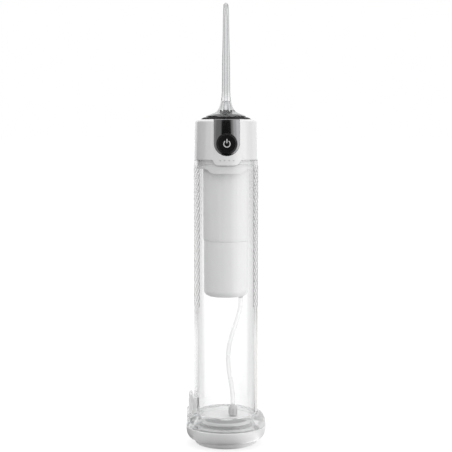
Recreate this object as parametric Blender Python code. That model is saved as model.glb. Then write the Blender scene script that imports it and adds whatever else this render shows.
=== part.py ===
"""A cordless water flosser: a clear tank on a round base, and a pump unit that hangs inside it.

Lengths are in millimetres, and MM turns them into Blender's metres. +Z is up, the button faces -Y,
and the origin is the centre of the foot's underside.
"""

import math

import bmesh
import bpy
from mathutils import Matrix, Vector

MM = 0.001

# Tank
TUBE_R = 22.0
TUBE_WALL = 2.0
TUBE_LOW, TUBE_TOP = 9.2, 196.7
FLOOR_Z = 18.6

# Base: a clear collar over a moulded cup, on a soft foot
BASE_R = 27.6
COLLAR_LOW, COLLAR_TOP = 12.9, 22.2
CUP_LOW, CUP_TOP = 4.0, 12.5
FOOT_R, FOOT_TOP = 21.8, 3.9

# Fill port, on the tank's -X side
PORT_Z, PORT_HOLE_R = 28.0, 4.2
PORT_HALF_WIDTH = 8.2
PAD_R, PAD_LOW, PAD_TOP = 23.7, 22.7, 33.2
DOOR_IN_R, DOOR_OUT_R, DOOR_TOP = 24.05, 25.95, 35.5
HINGE_X, HINGE_Z = -25.4, 21.4
HINGE_PIN_R = 0.7

# Housing at the top of the pump unit
HOUSING_LOW_R, HOUSING_TOP_R = 21.85, 21.15
HOUSING_LOW, HOUSING_TOP = 197.0, 224.3
TONGUE_LOW = 193.85
PANEL_HALF_WIDTH, PANEL_LOW = 8.6, 199.8
DISC_R = 17.4
BUTTON_Z, BUTTON_R = 207.8, 6.45

# Core of the pump unit, inside the tank
CORE_R, CORE_LOWER_R = 15.6, 15.2
CORE_LOW, CORE_SEAM, CORE_TOP = 103.0, 141.4, 199.3
COLLAR_RING_R = 19.6
CHIN_LOW = 187.7

# Suction hose, hanging in the tank
HOSE_R, BARB_X = 1.5, 10.1
FILTER_X = 4.8

# Drive: motor, pinion, crown gear, crank, rod and piston
MOTOR_Y, MOTOR_R, MOTOR_FLAT = 3.5, 10.0, 7.7
TOOTH_MODULE, PINION_TEETH, CROWN_TEETH = 0.5, 10, 24
PINION_R = TOOTH_MODULE * PINION_TEETH / 2
CROWN_R = TOOTH_MODULE * CROWN_TEETH / 2
PINION_Z = 190.7
CRANK_Z = PINION_Z + CROWN_R
CRANK_THROW, ROD_LENGTH, BALL_R = 1.6, 11.5, 1.1
PUMP_Y = 10.7
VALVE_X, VALVE_Y = 1.9, 9.6

# Nozzle
NOZZLE_BASE_Z, NOZZLE_FLANGE_R = 224.9, 14.0
NOZZLE_STEM_R, NOZZLE_BORE_R = 2.85, 0.9
NOZZLE_BEND_Z, NOZZLE_BEND_R, NOZZLE_BEND_ANGLE = 297.0, 5.0, math.radians(80)

ROUND, MEDIUM, SMALL = 48, 24, 12
GAP = 0.3


def clear_scene():
    for obj in list(bpy.data.objects):
        bpy.data.objects.remove(obj)


def finish_of(name, colour, roughness, metallic=0.0, transmission=0.0):
    """A Principled material."""
    made = bpy.data.materials.new(name)
    made.use_nodes = True
    shader = made.node_tree.nodes["Principled BSDF"]
    shader.inputs["Base Color"].default_value = (*colour, 1.0)
    shader.inputs["Roughness"].default_value = roughness
    shader.inputs["Metallic"].default_value = metallic
    shader.inputs["Transmission Weight"].default_value = transmission
    return made


clear_scene()
CLEAR = finish_of("clear_plastic", (0.9, 0.91, 0.92), 0.05, transmission=0.9)
WHITE = finish_of("white_plastic", (0.82, 0.82, 0.82), 0.3)
CORE = finish_of("core_plastic", (0.7, 0.7, 0.7), 0.4)
MILKY = finish_of("milky_plastic", (0.76, 0.76, 0.76), 0.35)
TRIM = finish_of("dark_chrome", (0.1, 0.1, 0.1), 0.15, metallic=1.0)
BLACK = finish_of("black_plastic", (0.01, 0.01, 0.01), 0.3)
SILICONE = finish_of("silicone", (0.6, 0.6, 0.6), 0.6)
STEEL = finish_of("steel", (0.6, 0.6, 0.6), 0.3, metallic=1.0)
GEAR = finish_of("gear_plastic", (0.8, 0.78, 0.7), 0.4)
BOARD = finish_of("circuit_board", (0.02, 0.2, 0.08), 0.5)
MAGNET = finish_of("magnet", (0.05, 0.05, 0.05), 0.6)
BATTERY = finish_of("battery_wrap", (0.05, 0.2, 0.5), 0.4)


# ---- Shapes ------------------------------------------------------------------------------------


def object_from(name, mesh_builder, finish):
    """A named object made from a bmesh that is in millimetres."""
    mesh = bpy.data.meshes.new(name)
    mesh_builder.transform(Matrix.Scale(MM, 4))
    bmesh.ops.recalc_face_normals(mesh_builder, faces=mesh_builder.faces)
    mesh_builder.to_mesh(mesh)
    mesh_builder.free()
    mesh.materials.append(finish)
    mesh.shade_smooth()
    mesh.set_sharp_from_angle(angle=math.radians(30))
    obj = bpy.data.objects.new(name, mesh)
    bpy.context.scene.collection.objects.link(obj)
    return obj


def turned(name, outline, finish, steps=ROUND, at=(0, 0, 0), along="Z"):
    """A solid turned about its own Z, from (radius, height) points. An outline that starts and ends
    on the axis is a solid round piece, and any other is a ring. along turns its axis to X or Y."""
    bm = bmesh.new()
    on_axis = outline[0][0] == 0 and outline[-1][0] == 0
    corners = [bm.verts.new((r, 0, z)) for r, z in outline]
    ends = list(zip(corners, corners[1:]))
    if not on_axis:
        ends.append((corners[-1], corners[0]))
    edges = [bm.edges.new(pair) for pair in ends]
    bmesh.ops.spin(
        bm, geom=corners + edges, cent=(0, 0, 0), axis=(0, 0, 1), angle=2 * math.pi, steps=steps, use_merge=True
    )
    bmesh.ops.remove_doubles(bm, verts=bm.verts, dist=1e-4)
    turn = {"Z": Matrix(), "X": Matrix.Rotation(math.pi / 2, 4, "Y"), "Y": Matrix.Rotation(-math.pi / 2, 4, "X")}
    obj = object_from(name, bm, finish)
    obj.location = Vector(at) * MM
    obj.rotation_euler = turn[along].to_euler()
    return obj


def rod(name, radius, low, high, finish, steps=SMALL, at=(0, 0, 0), along="Z"):
    """A plain cylinder from low to high along its axis."""
    return turned(name, [(0, low), (radius, low), (radius, high), (0, high)], finish, steps, at, along)


def ring(name, inner, outer, low, high, finish, steps=ROUND, at=(0, 0, 0), along="Z"):
    return turned(name, [(inner, low), (outer, low), (outer, high), (inner, high)], finish, steps, at, along)


def seal(name, radius, section, height, finish, steps=MEDIUM, at=(0, 0, 0)):
    """An O-ring with a section of six sides."""
    sides = 6
    outline = [
        (radius + section * math.cos(k * math.tau / sides), height + section * math.sin(k * math.tau / sides))
        for k in range(sides)
    ]
    return turned(name, outline, finish, steps, at)


def block(name, low, high, finish, bevel=0.0):
    """A box between two corners, its upright edges rounded by bevel."""
    bm = bmesh.new()
    bmesh.ops.create_cube(bm, size=1)
    size = Vector(high) - Vector(low)
    bmesh.ops.scale(bm, vec=size, verts=bm.verts)
    bmesh.ops.translate(bm, vec=(Vector(high) + Vector(low)) / 2, verts=bm.verts)
    if bevel:
        upright = [e for e in bm.edges if abs((e.verts[0].co - e.verts[1].co).z) > size.z / 2]
        bmesh.ops.bevel(bm, geom=upright, offset=bevel, segments=3, profile=0.5, affect="EDGES")
    return object_from(name, bm, finish)


def prism(name, outline, near, far, finish):
    """An (x, z) outline pushed through from y = near to y = far."""
    bm = bmesh.new()
    face = bm.faces.new([bm.verts.new((x, near, z)) for x, z in outline])
    pushed = bmesh.ops.extrude_face_region(bm, geom=[face])["geom"]
    bmesh.ops.translate(bm, vec=(0, far - near, 0), verts=[v for v in pushed if isinstance(v, bmesh.types.BMVert)])
    return object_from(name, bm, finish)


def tube_along(name, points, radius, finish, spacing, sides=2):
    """A round tube on a smooth curve through the points, with closed ends. spacing is the distance
    between the points of its polyline."""
    guide = bpy.data.curves.new(name + "_guide", "CURVE")
    guide.dimensions = "3D"
    spline = guide.splines.new("BEZIER")
    spline.bezier_points.add(len(points) - 1)
    for knot, co in zip(spline.bezier_points, points):
        knot.co = Vector(co) * MM
        knot.handle_left_type = knot.handle_right_type = "AUTO"
    guide_object = bpy.data.objects.new(name + "_guide", guide)
    guide.resolution_u = 24
    sampled = guide_object.to_mesh()
    fine = [v.co.copy() for v in sampled.vertices]
    guide_object.to_mesh_clear()
    bpy.data.objects.remove(guide_object)

    reached, marks = 0.0, [fine[0]]
    for before, after in zip(fine, fine[1:]):
        reached += (after - before).length
        if reached >= spacing * MM:
            marks.append(after)
            reached = 0.0
    if (fine[-1] - marks[-1]).length < spacing * MM / 2:
        marks.pop()
    marks.append(fine[-1])

    curve = bpy.data.curves.new(name, "CURVE")
    curve.dimensions = "3D"
    line = curve.splines.new("POLY")
    line.points.add(len(marks) - 1)
    for point, co in zip(line.points, marks):
        point.co = (*co, 1)
    curve.bevel_depth = radius * MM
    curve.bevel_resolution = sides
    curve.use_fill_caps = True
    curve.materials.append(finish)
    obj = bpy.data.objects.new(name, curve)
    bpy.context.scene.collection.objects.link(obj)
    return obj


def combine(target, other, operation):
    """A Boolean modifier on target. other becomes its helper and isn't part of the model."""
    modifier = target.modifiers.new(operation.lower(), "BOOLEAN")
    modifier.operation = operation
    modifier.solver = "EXACT"
    modifier.object = other
    other.hide_render = True
    other.display_type = "WIRE"
    return target


def cut(target, *cutters):
    for cutter in cutters:
        combine(target, cutter, "DIFFERENCE")
    return target


def fuse(target, *others):
    for other in others:
        combine(target, other, "UNION")
    return target


def keep_inside(target, other):
    return combine(target, other, "INTERSECT")


def joint_centre(name, at, parent=None):
    """An empty on a joint's axis, which the moving pieces hang from."""
    empty = bpy.data.objects.new(name, None)
    bpy.context.scene.collection.objects.link(empty)
    empty.location = Vector(at) * MM
    if parent:
        hang(parent, empty)
    return empty


def hang(parent, *pieces):
    """Parents pieces and leaves them where they are."""
    bpy.context.view_layer.update()
    for piece in pieces:
        piece.parent = parent
        piece.matrix_parent_inverse = parent.matrix_world.inverted()


def quarter(centre, half_width, half_height, power, upwards, steps=8):
    """Points of a rounded shoulder from its widest point to its top or bottom: a superellipse."""
    points = []
    for k in range(steps + 1):
        angle = k * math.pi / 2 / steps
        out = max(0.0, math.cos(angle)) ** (2 / power)
        up = math.sin(angle) ** (2 / power)
        points.append((centre[0] + half_width * out, centre[1] + (half_height if upwards else -half_height) * up))
    return points


def rounded_trapezium(half_top, half_bottom, top, bottom, radius):
    """An (x, z) outline that narrows downwards, its two lower corners rounded."""
    points = [(half_top, top)]
    slope = math.atan2(top - bottom, half_top - half_bottom)
    reach = radius * math.tan(slope / 2)
    for k in range(5):
        angle = math.pi / 2 - (1 - k / 4) * slope
        points.append((half_bottom - reach + radius * math.cos(angle), bottom + radius - radius * math.sin(angle)))
    return points + [(-x, z) for x, z in reversed(points)]


# ---- Tank and base -----------------------------------------------------------------------------


def build_tank():
    inner = TUBE_R - TUBE_WALL
    tube = ring("tank_tube", inner, TUBE_R, TUBE_LOW, TUBE_TOP, CLEAR)
    pad = ring("port_pad", TUBE_R - 0.5, PAD_R, PAD_LOW, PAD_TOP, CLEAR)
    keep_inside(pad, block("pad_keep", (-30, -PORT_HALF_WIDTH, 0), (-10, PORT_HALF_WIDTH, 60), CLEAR))
    hole = rod("port_hole", PORT_HOLE_R, -30, -15, CLEAR, MEDIUM, (0, 0, PORT_Z), "X")
    notch = prism(
        "tongue_notch",
        rounded_trapezium(11.4, 7.5, TUBE_TOP + 1, TONGUE_LOW - 0.35, 1.5),
        -TUBE_R - 3,
        -12,
        CLEAR,
    )
    fuse(tube, pad)
    cut(tube, hole, notch)

    shoulder = quarter((22.3, COLLAR_LOW), BASE_R - 22.3, COLLAR_TOP - COLLAR_LOW, 2.2, True)
    collar = turned("base_collar", [(22.3, COLLAR_LOW)] + shoulder, CLEAR)
    for side in (-1, 1):
        ear_low, ear_high = sorted((side * 8.9, side * 11.3))
        fuse(
            collar,
            rod(f"hinge_ear_{side}", 1.9, ear_low, ear_high, CLEAR, SMALL, (HINGE_X, 0, HINGE_Z), "Y"),
            block(
                f"hinge_post_{side}",
                (HINGE_X - 1.85, ear_low, COLLAR_LOW + 0.5),
                (HINGE_X + 1.85, ear_high, HINGE_Z - 0.2),
                CLEAR,
            ),
        )
    cut(
        collar,
        block("door_pocket", (-31, -8.55, 19.4), (-18, 8.55, 30), CLEAR),
        rod("hinge_bore", HINGE_PIN_R + GAP, -14, 14, CLEAR, SMALL, (HINGE_X, 0, HINGE_Z), "Y"),
        ring("tube_seat", 10, 22.3, 20, 30, CLEAR),
    )

    spigot = inner - 0.35
    cup_outline = [
        (0, FLOOR_Z - 3),
        (14.5, FLOOR_Z - 3),
        (14.5, CUP_LOW + 0.2),
        (22.0, CUP_LOW + 0.2),
        *reversed(quarter((22.0, CUP_TOP), BASE_R - 22.0, CUP_TOP - CUP_LOW, 2.5, False)),
        (22.4, CUP_TOP),
        (22.4, TUBE_LOW - GAP),
        (spigot, TUBE_LOW - GAP),
        (spigot, 13.4),
        (18.3, 13.4),
        (18.3, 15.6),
        (spigot, 15.6),
        (spigot, FLOOR_Z - 0.4),
        (spigot - 0.4, FLOOR_Z),
        (0, FLOOR_Z + 0.3),
    ]
    cup = turned("base_cup", cup_outline, MILKY)
    base_seal = seal("base_seal", 19.1, 0.6, 14.5, SILICONE)
    foot_round = [(x, z) for x, z in quarter((18.8, 3.0), FOOT_R - 18.8, 3.0, 2.0, False, 5)]
    foot = turned("foot_ring", [(15.2, 0.5), (15.2, FOOT_TOP), (FOOT_R, FOOT_TOP), *foot_round, (15.7, 0)], SILICONE)
    return [tube, collar, cup, base_seal, foot]


def build_port_door():
    """The clear flap over the fill port, its soft plug, and the pin it turns on."""
    door = ring("port_door", DOOR_IN_R, DOOR_OUT_R, HINGE_Z - 0.6, DOOR_TOP, CLEAR)
    keep_inside(door, block("door_keep", (-30, -PORT_HALF_WIDTH, 0), (-10, PORT_HALF_WIDTH, 60), CLEAR))
    fuse(door, rod("door_knuckle", 1.55, -PORT_HALF_WIDTH, PORT_HALF_WIDTH, CLEAR, SMALL, (HINGE_X, 0, HINGE_Z), "Y"))
    cut(
        door,
        rod("knuckle_bore", HINGE_PIN_R + GAP / 2, -12, 12, CLEAR, SMALL, (HINGE_X, 0, HINGE_Z), "Y"),
        prism(
            "nail_chamfer",
            [(-DOOR_IN_R + 2, DOOR_TOP - 3.2), (-DOOR_IN_R - 1.1, DOOR_TOP + 0.2), (-DOOR_IN_R + 2, DOOR_TOP + 0.2)],
            -12,
            12,
            CLEAR,
        ),
    )
    plug = turned(
        "port_plug",
        [(0, -23.5), (3.7, -23.5), (3.5, -22.2), (2.9, -21.2), (1.8, -20.7), (0, -20.6)],
        SILICONE,
        MEDIUM,
        (0, 0, PORT_Z),
        "X",
    )
    pin = rod("hinge_pin", HINGE_PIN_R, -11.0, 11.0, CLEAR, 12, (HINGE_X, 0, HINGE_Z), "Y")
    hang(joint_centre("port_door_joint", (HINGE_X, 0, HINGE_Z)), door, plug)
    return [door, plug, pin]


# ---- Housing -----------------------------------------------------------------------------------


def u_outline(half_width, centre_z, top, steps=16):
    """An (x, z) outline with a half-round lower end."""
    arc = [
        (half_width * math.cos(math.pi + k * math.pi / steps), centre_z + half_width * math.sin(math.pi + k * math.pi / steps))
        for k in range(steps + 1)
    ]
    return [(-half_width, top), *arc, (half_width, top)]


def build_housing():
    shell = turned(
        "housing_shell",
        [
            (20.0, HOUSING_LOW),
            (HOUSING_LOW_R, HOUSING_LOW),
            (HOUSING_TOP_R, HOUSING_TOP - 2.1),
            (20.7, HOUSING_TOP - 1.0),
            (19.6, HOUSING_TOP - 0.5),
            (DISC_R + GAP, HOUSING_TOP),
            (DISC_R + GAP, HOUSING_TOP - 1.9),
            (19.2, HOUSING_TOP - 2.4),
        ],
        WHITE,
    )
    tongue = ring("tongue_band", 20.0, HOUSING_LOW_R, TONGUE_LOW, HOUSING_LOW + 2, WHITE)
    tongue_shape = rounded_trapezium(10.9, 7.2, HOUSING_LOW + 1, TONGUE_LOW, 1.5)
    keep_inside(tongue, prism("tongue_keep", tongue_shape, -26, -12, WHITE))
    arc_z = PANEL_LOW + PANEL_HALF_WIDTH
    window = prism("panel_window", u_outline(PANEL_HALF_WIDTH + GAP, arc_z, 240), -26, -12, WHITE)
    recess = ring("flap_recess", 20.9, 24, 198.1, 205.2, WHITE)
    keep_inside(recess, block("recess_keep", (-6.9, 10, 190), (6.9, 26, 210), WHITE))
    charge_hole = block("charge_hole", (-4.6, 17, 199.6), (4.6, 24, 203.9), WHITE)
    fuse(shell, tongue)
    cut(shell, window, recess, charge_hole)

    # The dark trim runs down the front and over the top as one piece.
    panel = turned(
        "trim_panel",
        [
            (20.1, 199.0),
            (HOUSING_LOW_R - 0.1, 199.0),
            (HOUSING_TOP_R - 0.05, HOUSING_TOP - 2.1),
            (20.65, HOUSING_TOP - 0.95),
            (19.5, HOUSING_TOP - 0.4),
            (DISC_R, HOUSING_TOP + 0.1),
            (7.9, HOUSING_TOP + 0.2),
            (7.9, HOUSING_TOP - 1.3),
            (DISC_R, HOUSING_TOP - 1.5),
            (19.3, HOUSING_TOP - 2.3),
        ],
        TRIM,
    )
    keep = prism("panel_keep", u_outline(PANEL_HALF_WIDTH, arc_z, 240), -26, -12, TRIM)
    fuse(keep, rod("disc_keep", DISC_R, HOUSING_TOP - 2.0, 232, TRIM, ROUND))
    keep_inside(panel, keep)
    cut(panel, rod("button_hole", 7.15, -26, -12, TRIM, MEDIUM, (0, 0, BUTTON_Z), "Y"))

    bezel = ring("button_bezel", 6.65, 7.0, -22.1, -20.2, TRIM, MEDIUM, (0, 0, BUTTON_Z), "Y")
    boot = ring("button_boot", 2.4, 7.2, -17.9, -17.1, SILICONE, MEDIUM, (0, 0, BUTTON_Z), "Y")
    cap = turned(
        "button_cap",
        [
            (0, -22.2),
            (5.4, -22.3),
            (BUTTON_R - 0.2, -22.2),
            (BUTTON_R, -21.9),
            (BUTTON_R, -19.7),
            (2.0, -19.7),
            (2.0, -16.4),
            (0, -16.4),
        ],
        BLACK,
        MEDIUM,
        (0, 0, BUTTON_Z),
        "Y",
    )
    hang(joint_centre("button_joint", (0, -22.2, BUTTON_Z)), cap)
    return [shell, panel, bezel, boot, cap]


def build_charge_port():
    """The charging socket in the back of the housing, and the soft flap over it."""
    socket = block("usb_socket", (-4.5, 13.2, 199.95), (4.5, 19.1, 203.25), STEEL)
    cut(
        socket,
        block("usb_mouth", (-4.15, 14.4, 200.35), (4.15, 22, 201.4), STEEL),
        block("usb_mouth_upper", (-4.15, 14.4, 201.3), (4.15, 22, 202.85), STEEL),
    )
    flap = ring("charge_flap", 21.15, 21.7, 198.4, 204.9, SILICONE)
    keep_inside(flap, block("flap_keep", (-6.6, 10, 190), (6.6, 26, 210), SILICONE))
    fuse(flap, block("flap_tongue", (-3.6, 19.5, 200.4), (3.6, 21.4, 202.9), SILICONE))
    hang(joint_centre("charge_flap_joint", (0, 21.7, 198.4)), flap)
    return [socket, flap]


# ---- Core inside the tank ----------------------------------------------------------------------


def build_core():
    collar = turned(
        "core_collar",
        [
            (CORE_R + GAP, 190.9),
            (COLLAR_RING_R, 190.9),
            (COLLAR_RING_R, 192.3),
            (18.3, 192.3),
            (18.3, 194.6),
            (COLLAR_RING_R, 194.6),
            (COLLAR_RING_R, 199.5),
            (CORE_R + GAP, 199.5),
        ],
        CORE,
    )
    chin = ring("chin_band", CORE_R + GAP, COLLAR_RING_R, CHIN_LOW, 192.0, CORE)
    chin_shape = rounded_trapezium(14.2, 9.4, 191.5, CHIN_LOW, 1.5)
    keep_inside(chin, prism("chin_keep", chin_shape, -22, -8, CORE))
    fuse(collar, chin)
    ring_seal = seal("collar_seal", 19.05, 0.6, 193.45, SILICONE)

    upper = turned(
        "case_upper",
        [
            (14.1, CORE_SEAM + 0.2),
            (CORE_R - 0.35, CORE_SEAM + 0.2),
            (CORE_R, CORE_SEAM + 1.8),
            (CORE_R, CORE_TOP),
            (14.1, CORE_TOP),
        ],
        CORE,
        48,
    )
    corner = quarter((CORE_LOWER_R - 4.5, CORE_LOW + 4.5), 4.5, 4.5, 2.0, False, 5)
    lower = turned(
        "case_lower",
        [
            (0, CORE_LOW),
            *reversed(corner),
            (CORE_LOWER_R, CORE_SEAM - 0.2),
            (13.8, CORE_SEAM - 0.2),
            (13.8, 142.6),
            (13.0, 142.6),
            (13.0, 144.4),
            (13.8, 144.4),
            (13.8, 146.0),
            (12.4, 146.0),
            (12.4, 139.5),
            (13.7, 138.0),
            (13.7, 106.4),
            (12.7, 105.0),
            (0, CORE_LOW + 1.8),
        ],
        CORE,
        48,
    )
    cut(lower, rod("barb_hole", 2.0, 100, 107, CORE, SMALL, (BARB_X, 0, 0)))
    case_seal = seal("case_seal", 13.45, 0.35, 143.5, SILICONE)
    barb = turned(
        "hose_barb",
        [(0, 101.8), (1.7, 101.8), (1.7, 105.3), (2.3, 105.3), (2.3, 106.0), (0, 106.0)],
        SILICONE,
        SMALL,
        (BARB_X, 0, 0),
    )
    return [collar, ring_seal, upper, lower, case_seal, barb]


def build_suction_line():
    """The soft hose that hangs in the tank, its strainer, and the tube that goes on up to the pump."""
    hose = tube_along(
        "suction_hose",
        [
            (BARB_X, 0, 101.5),
            (9.9, -0.2, 96.0),
            (7.3, -1.0, 86.0),
            (4.3, -1.8, 77.0),
            (2.1, -2.2, 68.5),
            (1.4, -2.0, 58.5),
            (2.2, -1.4, 49.5),
            (3.6, -0.7, 41.5),
            (4.6, -0.1, 33.0),
            (FILTER_X, 0, 27.0),
        ],
        HOSE_R,
        SILICONE,
        6.0,
    )
    strainer = turned(
        "intake_filter",
        [(0, 19.3), (2.6, 19.3), (3.1, 20.0), (3.1, 24.6), (2.4, 25.6), (1.5, 26.7), (0, 26.7)],
        SILICONE,
        SMALL,
        (FILTER_X, 0, 0),
    )
    feed = tube_along(
        "inlet_tube",
        [
            (BARB_X, 0, 106.3),
            (BARB_X, 0, 130),
            (BARB_X, 0, 155),
            (10.6, 0, 180),
            (10.6, 0, 200),
            (10.9, 3.0, 207.0),
            (11.3, 8.0, 212.5),
            (11.0, 10.4, 216.2),
            (9.6, PUMP_Y, 218.0),
            (7.3, PUMP_Y, 218.1),
        ],
        1.4,
        SILICONE,
        3.0,
    )
    return [hose, strainer, feed]


def build_electrics():
    cell = turned(
        "battery_cell",
        [(0, 107.6), (6.6, 107.6), (7.05, 108.1), (7.05, 155.0), (6.6, 155.5), (2.4, 155.5), (2.4, 156.2), (0, 156.2)],
        BATTERY,
        24,
        (0, 5, 0),
    )
    tab_low = block("battery_tab_bottom", (-3, 2, 106.9), (3, 8, 107.3), STEEL)
    tab_high = block("battery_tab_top", (-3, 2, 156.5), (3, 8, 156.9), STEEL)
    board = block("control_board", (-6.3, -12.3, 150), (6.3, -11.3, 216), BOARD)
    chip = block("control_chip", (-2.5, -11.0, 168), (2.5, -10.0, 173), BLACK)
    switch = block("tact_switch", (-3, -15.2, BUTTON_Z - 3), (3, -12.6, BUTTON_Z + 3), BLACK)
    return [cell, tab_low, tab_high, board, chip, switch]


# ---- Drive and pump ----------------------------------------------------------------------------


def build_motor():
    at = (0, MOTOR_Y, 0)
    can = turned(
        "motor_can",
        [
            (MOTOR_R - 0.8, 160.5),
            (MOTOR_R, 160.5),
            (MOTOR_R, 185.6),
            (3.0, 185.6),
            (3.0, 186.2),
            (1.6, 186.2),
            (1.6, 184.6),
            (MOTOR_R - 0.8, 184.6),
        ],
        STEEL,
        MEDIUM,
        at,
    )
    keep_inside(can, block("can_flats", (-MOTOR_FLAT, -12, 150), (MOTOR_FLAT, 18, 190), STEEL))
    fuse(
        can,
        block("can_flat_left", (-MOTOR_FLAT, -2.7, 160.5), (-MOTOR_FLAT + 0.8, 9.7, 185.6), STEEL),
        block("can_flat_right", (MOTOR_FLAT - 0.8, -2.7, 160.5), (MOTOR_FLAT, 9.7, 185.6), STEEL),
    )
    endcap = ring("motor_endcap", 1.4, MOTOR_R, 158.6, 160.2, BLACK, MEDIUM, at)
    keep_inside(endcap, block("endcap_flats", (-MOTOR_FLAT, -12, 150), (MOTOR_FLAT, 18, 190), BLACK))
    magnets = []
    for name, low, high in (("magnet_front", -14, MOTOR_Y - 4.5), ("magnet_back", MOTOR_Y + 4.5, 20)):
        magnet = ring(name, 7.4, MOTOR_R - 1.1, 164.5, 181.5, MAGNET, MEDIUM, at)
        magnets.append(keep_inside(magnet, block(name + "_keep", (-6.6, low, 150), (6.6, high, 190), MAGNET)))
    rotor = turned(
        "motor_rotor",
        [
            (0, 158.9),
            (1.0, 158.9),
            (1.0, 161.2),
            (2.6, 161.2),
            (2.6, 164.2),
            (5.6, 165.0),
            (6.7, 165.6),
            (6.7, 180.4),
            (5.6, 181.0),
            (1.0, 182.0),
            (1.0, 194.4),
            (0, 194.4),
        ],
        STEEL,
        20,
        at,
    )
    return [can, endcap, *magnets], rotor


def build_pinion():
    """A spur pinion: one tooth's outline repeated round it, pushed up along the motor's shaft."""
    root, tip = PINION_R - 0.6, PINION_R + 0.45
    pitch = math.tau / PINION_TEETH
    outline = []
    for tooth in range(PINION_TEETH):
        # Shares of the tooth's pitch where its flank starts, its tip starts, its tip ends and its flank ends.
        for share, radius in ((-0.2, root), (-0.09, tip), (0.09, tip), (0.2, root)):
            angle = (tooth + share) * pitch - math.pi / 2
            outline.append((radius * math.cos(angle), radius * math.sin(angle)))
    bm = bmesh.new()
    face = bm.faces.new([bm.verts.new((x, y, PINION_Z - 2.5)) for x, y in outline])
    pushed = bmesh.ops.extrude_face_region(bm, geom=[face])["geom"]
    bmesh.ops.translate(bm, vec=(0, 0, 5.0), verts=[v for v in pushed if isinstance(v, bmesh.types.BMVert)])
    pinion = object_from("pinion", bm, GEAR)
    pinion.location = Vector((0, MOTOR_Y, 0)) * MM
    return cut(pinion, rod("pinion_bore", 1.3, 180, 200, GEAR, SMALL, (0, MOTOR_Y, 0)))


def build_crown_gear():
    """A face gear with its teeth towards the motor's shaft, and the crank pin on its other side.
    It is turned about its own Z, which then points along +Y, with heights from the crank's centre."""
    contact = MOTOR_Y + PINION_R
    disc_low, disc_high = contact + 0.7, contact + 2.3
    disc = turned(
        "crown_gear",
        [
            (1.2, contact - 1.2),
            (2.2, contact - 1.2),
            (2.2, disc_low),
            (CROWN_R + 1.0, disc_low),
            (CROWN_R + 1.0, disc_high),
            (1.2, disc_high),
        ],
        GEAR,
        48,
        (0, 0, CRANK_Z),
        "Y",
    )
    teeth = bmesh.new()
    pitch = math.tau / CROWN_TEETH
    for tooth in range(CROWN_TEETH):
        middle = (tooth + 0.5) * pitch
        corners = []
        for radius in (CROWN_R - 0.8, CROWN_R + 0.9):
            for half, height in ((0.19, disc_low + 0.3), (0.07, contact - 0.35)):
                for side in (-half, half):
                    angle = middle + side * pitch
                    corners.append(teeth.verts.new((radius * math.cos(angle), radius * math.sin(angle), height)))
        # Corners 0-3 are the tooth's inner end and 4-7 its outer end; each pair runs across the tooth.
        for quad in ((0, 1, 3, 2), (4, 6, 7, 5), (0, 2, 6, 4), (1, 5, 7, 3), (2, 3, 7, 6), (0, 4, 5, 1)):
            teeth.faces.new([corners[k] for k in quad])
    comb = object_from("crown_teeth", teeth, GEAR)
    comb.location = Vector((0, 0, CRANK_Z)) * MM
    comb.rotation_euler = (-math.pi / 2, 0, 0)
    pin = rod("crank_pin", 1.1, disc_high - 0.5, 12.6, GEAR, SMALL, (0, 0, CRANK_Z - CRANK_THROW), "Y")
    return fuse(disc, comb, pin)


def build_rod_and_piston():
    pin_z = CRANK_Z - CRANK_THROW
    ball_z = pin_z + ROD_LENGTH
    big_end = rod("connecting_rod", 2.6, PUMP_Y - 1.4, PUMP_Y + 1.4, GEAR, SMALL, (0, 0, pin_z), "Y")
    shank = block("rod_shank", (-0.8, PUMP_Y - 0.8, pin_z + 2.2), (0.8, PUMP_Y + 0.8, ball_z), GEAR)
    ball = turned(
        "rod_ball",
        [(0, -BALL_R), (BALL_R * 0.7, -BALL_R * 0.7), (BALL_R, 0), (BALL_R * 0.7, BALL_R * 0.7), (0, BALL_R)],
        GEAR,
        12,
        (0, PUMP_Y, ball_z),
    )
    fuse(big_end, shank, ball)
    cut(big_end, rod("rod_eye", 1.4, 5, 16, GEAR, SMALL, (0, 0, pin_z), "Y"))

    # The piston waits at the top of its stroke, clear of the ball at every angle of the crank. Its
    # skirt stops short of the crown gear at the bottom of the stroke.
    ceiling = CRANK_Z + ROD_LENGTH + CRANK_THROW + BALL_R + 0.4
    skirt = CRANK_Z + CROWN_R + 1.0 + 2 * CRANK_THROW + 0.5
    piston = turned(
        "piston",
        [(0, ceiling), (3.0, ceiling), (3.0, skirt), (3.7, skirt), (3.7, ceiling + 1.0), (0, ceiling + 1.0)],
        GEAR,
        24,
        (0, PUMP_Y, 0),
    )
    cup = turned(
        "piston_cup",
        [
            (0, ceiling + 1.25),
            (3.2, ceiling + 1.25),
            (3.75, ceiling + 2.4),
            (3.1, ceiling + 2.4),
            (2.8, ceiling + 1.8),
            (0, ceiling + 1.8),
        ],
        SILICONE,
        24,
        (0, PUMP_Y, 0),
    )
    return big_end, [piston, cup]


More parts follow.
